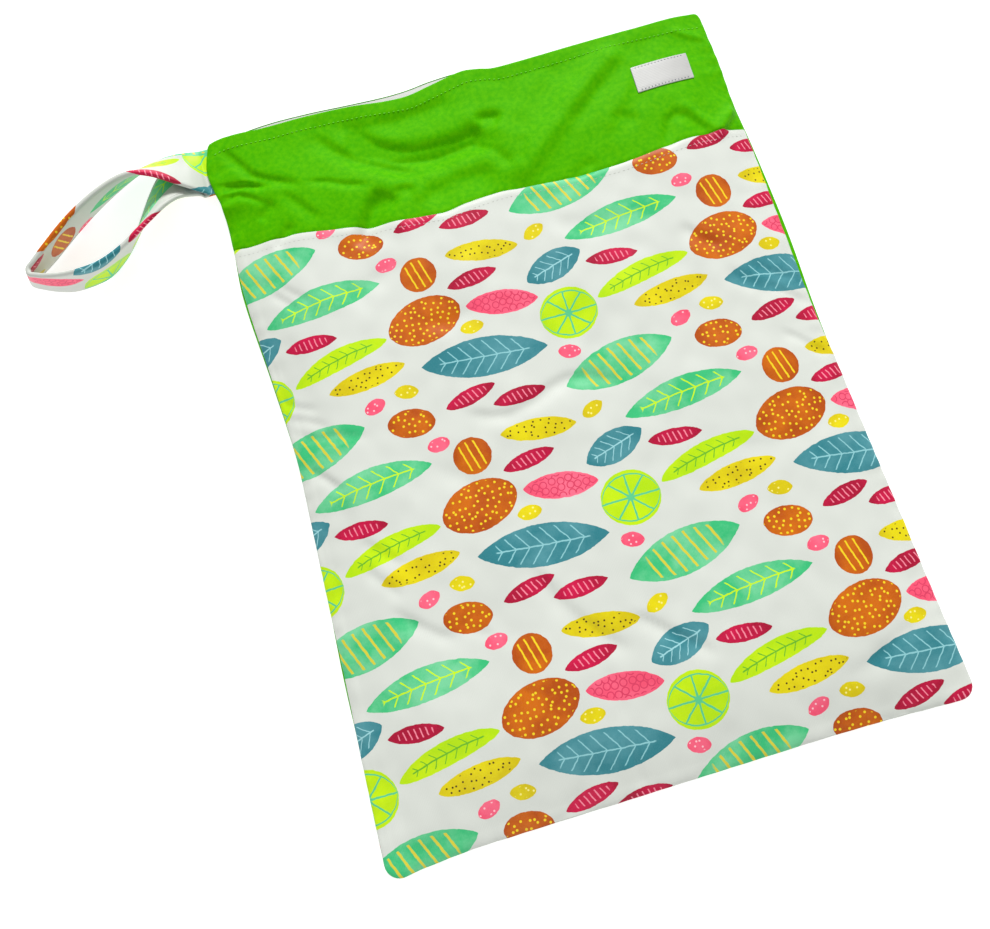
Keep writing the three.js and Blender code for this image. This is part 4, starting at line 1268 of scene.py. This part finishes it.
@dataclass
class HangingLoop:
    """The printed strip, folded and sewn, whose two ends are held in the left side seam."""

    form: BagForm
    printed: bpy.types.Material
    reach: float = 106.0
    cloth: float = 2.8
    sewn: float = 1.5
    rest: float = 0.5
    steps_per_row: int = 8
    section: tuple[tuple[float, float], ...] = (
        (0.46, 0.485), (0.475, 0.42), (0.489, 0.3), (0.497, 0.12), (0.5, -0.05),
        (0.498, -0.2), (0.491, -0.33), (0.479, -0.43), (0.463, -0.47), (0.456, -0.1),
        (0.446, -0.1), (0.438, -0.45),
    )

    def cubic(self, points: np.ndarray, at: np.ndarray, centripetal: bool) -> np.ndarray:
        """Read a smooth line through points.

        Args:
            points: the points, in order.
            at: places on the line, in rows of the table.
            centripetal: whether its speed follows the points' distances.

        Returns:
            Points of the line.
        """
        padded = np.vstack([2 * points[0] - points[1], points, 2 * points[-1] - points[-2]])
        first = np.minimum(np.floor(at).astype(int), len(points) - 2)
        share = (at - first)[:, None]
        p0, p1, p2, p3 = (padded[first + i] for i in range(4))
        if centripetal:
            d0, d1, d2 = (np.maximum(np.linalg.norm(b - a, axis=1), 1e-6)[:, None] ** 0.5
                          for a, b in ((p0, p1), (p1, p2), (p2, p3)))
            t1 = ((p1 - p0) / d0 - (p2 - p0) / (d0 + d1) + (p2 - p1) / d1) * d1
            t2 = ((p2 - p1) / d1 - (p3 - p1) / (d1 + d2) + (p3 - p2) / d2) * d1
        else:
            t1, t2 = 0.5 * (p2 - p0), 0.5 * (p3 - p1)
        square = -3 * p1 + 3 * p2 - 2 * t1 - t2
        cube = 2 * p1 - 2 * p2 + t1 + t2
        return p1 + t1 * share + square * share ** 2 + cube * share ** 3

    def outline(self) -> np.ndarray:
        """Cross section of the folded strip, in shares of its width and thickness.

        Returns:
            Points once round: the outer face, an edge, the inner face, the other edge.
        """
        flat = np.linspace(-0.42, 0.42, 13)
        outer = np.column_stack([flat, np.full(13, 0.5)])
        rim = np.array(self.section)
        inner = np.column_stack([-flat, np.full(13, -0.5)])
        other = rim[::-1] * (-1, 1)
        return np.vstack([outer, rim, inner, other, outer[:1]])

    def build(self) -> None:
        """Make the strip as a closed tube along its line."""
        form = self.form
        out, along, lean_x, lean_y, lift, sewn = LOOP_ROWS.T
        left, _ = form.edges(np.array([-form.width / 2]), np.array([form.loop_y]), front=False)
        lower = form.cloth + form.sewn_gap + self.sewn / 2
        upper = lower + self.sewn + form.sewn_gap
        ply = np.where(np.arange(len(out)) < (len(out) - 1) / 2, upper, lower)
        free = self.rest + lift * form.loop_width
        middles = np.column_stack([left[0] - out * self.reach, form.loop_y + along * self.reach,
                                   free + (ply - free) * sewn])
        at = np.linspace(0, len(out) - 1, self.steps_per_row * (len(out) - 1) + 1)
        centre = self.cubic(middles, at, centripetal=True)
        lean = self.cubic(np.column_stack([lean_x, lean_y, sewn]), at, centripetal=False)
        upright = np.sqrt(np.maximum(1 - lean[:, 0] ** 2 - lean[:, 1] ** 2, 0))
        centre[:, 2] += upright * form.loop_width / 2
        across = np.column_stack([lean[:, :2], upright])
        across /= np.linalg.norm(across, axis=1)[:, None]
        face = np.cross(np.gradient(centre, axis=0), across)
        face /= np.linalg.norm(face, axis=1)[:, None]
        held = np.clip(lean[:, 2], 0, 1)
        thick = self.cloth + (self.sewn - self.cloth) * held
        shape = self.outline()
        points = (
            centre[:, None] + across[:, None] * (shape[:, 0] * form.loop_width)[None, :, None]
            + face[:, None] * (shape[:, 1][None] * thick[:, None])[..., None]
        )
        run = distances(centre)
        size = shape * (form.loop_width, self.cloth)
        round_it = distances(size)
        flat = np.dstack(np.broadcast_arrays(run[:, None] + 11, round_it[None] + 43))
        piece = sew_sheet("hanging_loop_strip", [Patch(points, flat)], 0, [self.printed])
        bpy.ops.object.mode_set(mode="EDIT")
        bpy.ops.mesh.select_all(action="SELECT")
        bpy.ops.mesh.fill_holes(sides=0)
        bpy.ops.mesh.select_all(action="SELECT")
        bpy.ops.mesh.normals_make_consistent(inside=False)
        bpy.ops.object.mode_set(mode="OBJECT")
        into_place(piece, "printed_knit", "hanging_loop")
        LOG.info("the loop's strip is %.0f mm long", run[-1])


@dataclass
class StitchRow:
    """A row of machine stitches, each one copied from one short, fat piece of thread."""

    form: BagForm
    name: str
    thread: bpy.types.Material
    slot: str
    length: float = 2.3
    pitch: float = 3.0
    radius: float = 0.26
    sinking: float = 0.3
    lifted: float = 0.35

    def model(self) -> bpy.types.Object:
        """Model one stitch along X: a bead whose ends sink into the cloth."""
        bpy.ops.object.select_all(action="DESELECT")
        bpy.ops.mesh.primitive_uv_sphere_add(segments=8, ring_count=6, radius=1.0,
                                             rotation=(0, math.pi / 2, 0))
        stitch = bpy.context.active_object
        bpy.ops.object.transform_apply(location=False, rotation=True, scale=False)
        for vertex in stitch.data.vertices:
            x, y, z = vertex.co
            sunk = z - self.sinking * x * x
            vertex.co = Vector((x * self.length / 2, y * self.radius, sunk * self.radius)) * MM
        return stitch

    def build(self, line: np.ndarray, heights: Callable) -> None:
        """Copy the stitch along a line and join the copies.

        Args:
            line: points of the line in plan, in millimetres.
            heights: gives the cloth's height for places across and along the bag.
        """
        model = self.model()
        run = distances(line)
        middles = np.arange(self.pitch, run[-1] - self.pitch / 2, self.pitch)
        copies = []
        for middle in middles:
            ends = np.array([[np.interp(middle + s * self.length / 2, run, line[:, i])
                              for i in (0, 1)] for s in (-1, 1)])
            tops = heights(ends[:, 0], ends[:, 1])
            a, b = (Vector((*end, top)) for end, top in zip(ends, tops))
            turn = (b - a).to_track_quat("X", "Z").to_matrix().to_4x4()
            copy = model.copy()
            copy.data = model.data.copy()
            spot = (a + b) / 2 + Vector((0, 0, self.lifted * self.radius))
            copy.data.transform(Matrix.Translation(spot * MM) @ turn)
            bpy.context.collection.objects.link(copy)
            copies.append(copy)
        bpy.data.objects.remove(model)
        select_only(copies[0])
        for copy in copies[1:]:
            copy.select_set(True)
        bpy.ops.object.join()
        row = bpy.context.active_object
        row.name = row.data.name = self.name
        row.data.materials.append(self.thread)
        bpy.ops.object.shade_smooth()
        into_place(row, self.slot)


@dataclass
class Stitching:
    """All machine stitches that show: hem, join and label."""

    form: BagForm
    label: Label
    from_ends: float = 0.8
    from_edge: float = 1.1

    def build(self) -> None:
        """Make the rows of stitches."""
        form = self.form
        rows = (
            ("hem_topstitch", "plain_knit", "green polyester thread", "#6ad208", 0.26,
             Edge.LIP, form.hem, (-147, 143.5)),
            ("join_topstitch", "printed_knit", "white polyester thread", "#c4c6be", 0.14,
             Edge.JOIN, form.allowance, (-148.5, 144.5)),
        )
        for name, slot, thread, colour, radius, edge, inside, ends in rows:
            x = np.linspace(*ends, 400)
            line = np.column_stack([x, form.cross(edge, x) - inside])
            StitchRow(form, name, Thread(thread, colour).build(), slot, length=1.5, pitch=2.65,
                      radius=radius).build(line, form.front_height)
        self.label_stitches(Thread("grey polyester thread", "#76808a").build())

    def label_stitches(self, thread: bpy.types.Material) -> None:
        """Sew the label on along its two long edges, a little inside them."""
        label = self.label
        half = label.width / 2 - self.from_ends
        along = np.linspace(-half, half, 80)
        for name, side in (("label_stitches_low", -1), ("label_stitches_high", 1)):
            inset = np.full(80, side * (label.length / 2 - self.from_edge))
            line = np.column_stack(label.place(along, inset))
            StitchRow(self.form, name, thread, "label_satin", length=0.8, pitch=2.0,
                      radius=0.24).build(line, label.height_at)


@dataclass
class Studio:
    """Camera, floor and soft light."""

    position: tuple[float, float, float] = (-0.062745, -0.117299, 0.463766)
    forward: tuple[float, float, float] = (0.03770821, 0.2018461, -0.97869109)
    up: tuple[float, float, float] = (0.28543001, 0.93640982, 0.20412337)
    focal_pixels: float = 900.0
    image_width: float = 990.0
    sensor: float = 36.0
    sky: float = 0.37
    lights: tuple[tuple[tuple[float, float, float], float, float], ...] = (
        ((0.9, 3.18, 2.07), 1.15, 172.0), ((-0.5, -1.6, 1.3), 1.5, 15.0),
    )

    def camera(self) -> None:
        """Set the camera where the photograph was taken from."""
        data = bpy.data.cameras.new("photo_camera")
        data.sensor_fit = "HORIZONTAL"
        data.sensor_width = self.sensor
        data.lens = self.focal_pixels * self.sensor / self.image_width
        data.clip_start = 0.01
        data.clip_end = 50
        camera = bpy.data.objects.new("photo_camera", data)
        bpy.context.collection.objects.link(camera)
        back = -Vector(self.forward).normalized()
        right = Vector(self.up).cross(back).normalized()
        up = back.cross(right)
        turn = Matrix((right, up, back)).transposed().to_4x4()
        camera.matrix_world = Matrix.Translation(self.position) @ turn
        bpy.context.scene.camera = camera

    def floor(self) -> None:
        """Lay the studio paper under the bag."""
        bpy.ops.object.select_all(action="DESELECT")
        bpy.ops.mesh.primitive_plane_add(size=6.0, location=(0, 0, -0.0002))
        paper = bpy.context.active_object
        paper.name = paper.data.name = "studio_paper"
        bpy.ops.object.transform_apply(location=True)
        paper.data.materials.append(Backdrop().build())

    def light(self) -> None:
        """Light the bag softly from above and from the mouth's side."""
        world = bpy.data.worlds.new("studio_air")
        world.use_nodes = True
        background = world.node_tree.nodes["Background"]
        background.inputs["Color"].default_value = (1, 1, 1, 1)
        background.inputs["Strength"].default_value = self.sky
        bpy.context.scene.world = world
        for index, (place, size, power) in enumerate(self.lights):
            data = bpy.data.lights.new(f"softbox_{index}", "AREA")
            data.size = size
            data.energy = power
            softbox = bpy.data.objects.new(data.name, data)
            softbox.location = place
            aim = (Vector((0, 0, 0)) - Vector(place)).to_track_quat("-Z", "Y")
            softbox.rotation_euler = aim.to_euler()
            bpy.context.collection.objects.link(softbox)
        bpy.context.scene.view_settings.view_transform = "Standard"


def main() -> None:
    """Build the studio and dress the bag, one sub-assembly after the other."""
    logging.basicConfig(level=logging.INFO, format="%(message)s")
    studio = Studio()
    studio.camera()
    form = BagForm()
    plain = PlainKnit().build()
    printed = PrintedKnit().build()
    film = Film().build()
    Panels(form, plain, printed, film).build()
    label = Label(form, LabelSatin().build())
    label.build()
    # Same printed knit as the front panel, but with a darker ground: painted shade that dims the
    # standing, folded strip.
    strip = PrintedKnit(name="printed polyester strip with painted shade", ground="#c9cdc5").build()
    HangingLoop(form, strip).build()
    Stitching(form, label).build()
    studio.floor()
    studio.light()


if __name__ == "__main__":
    main()
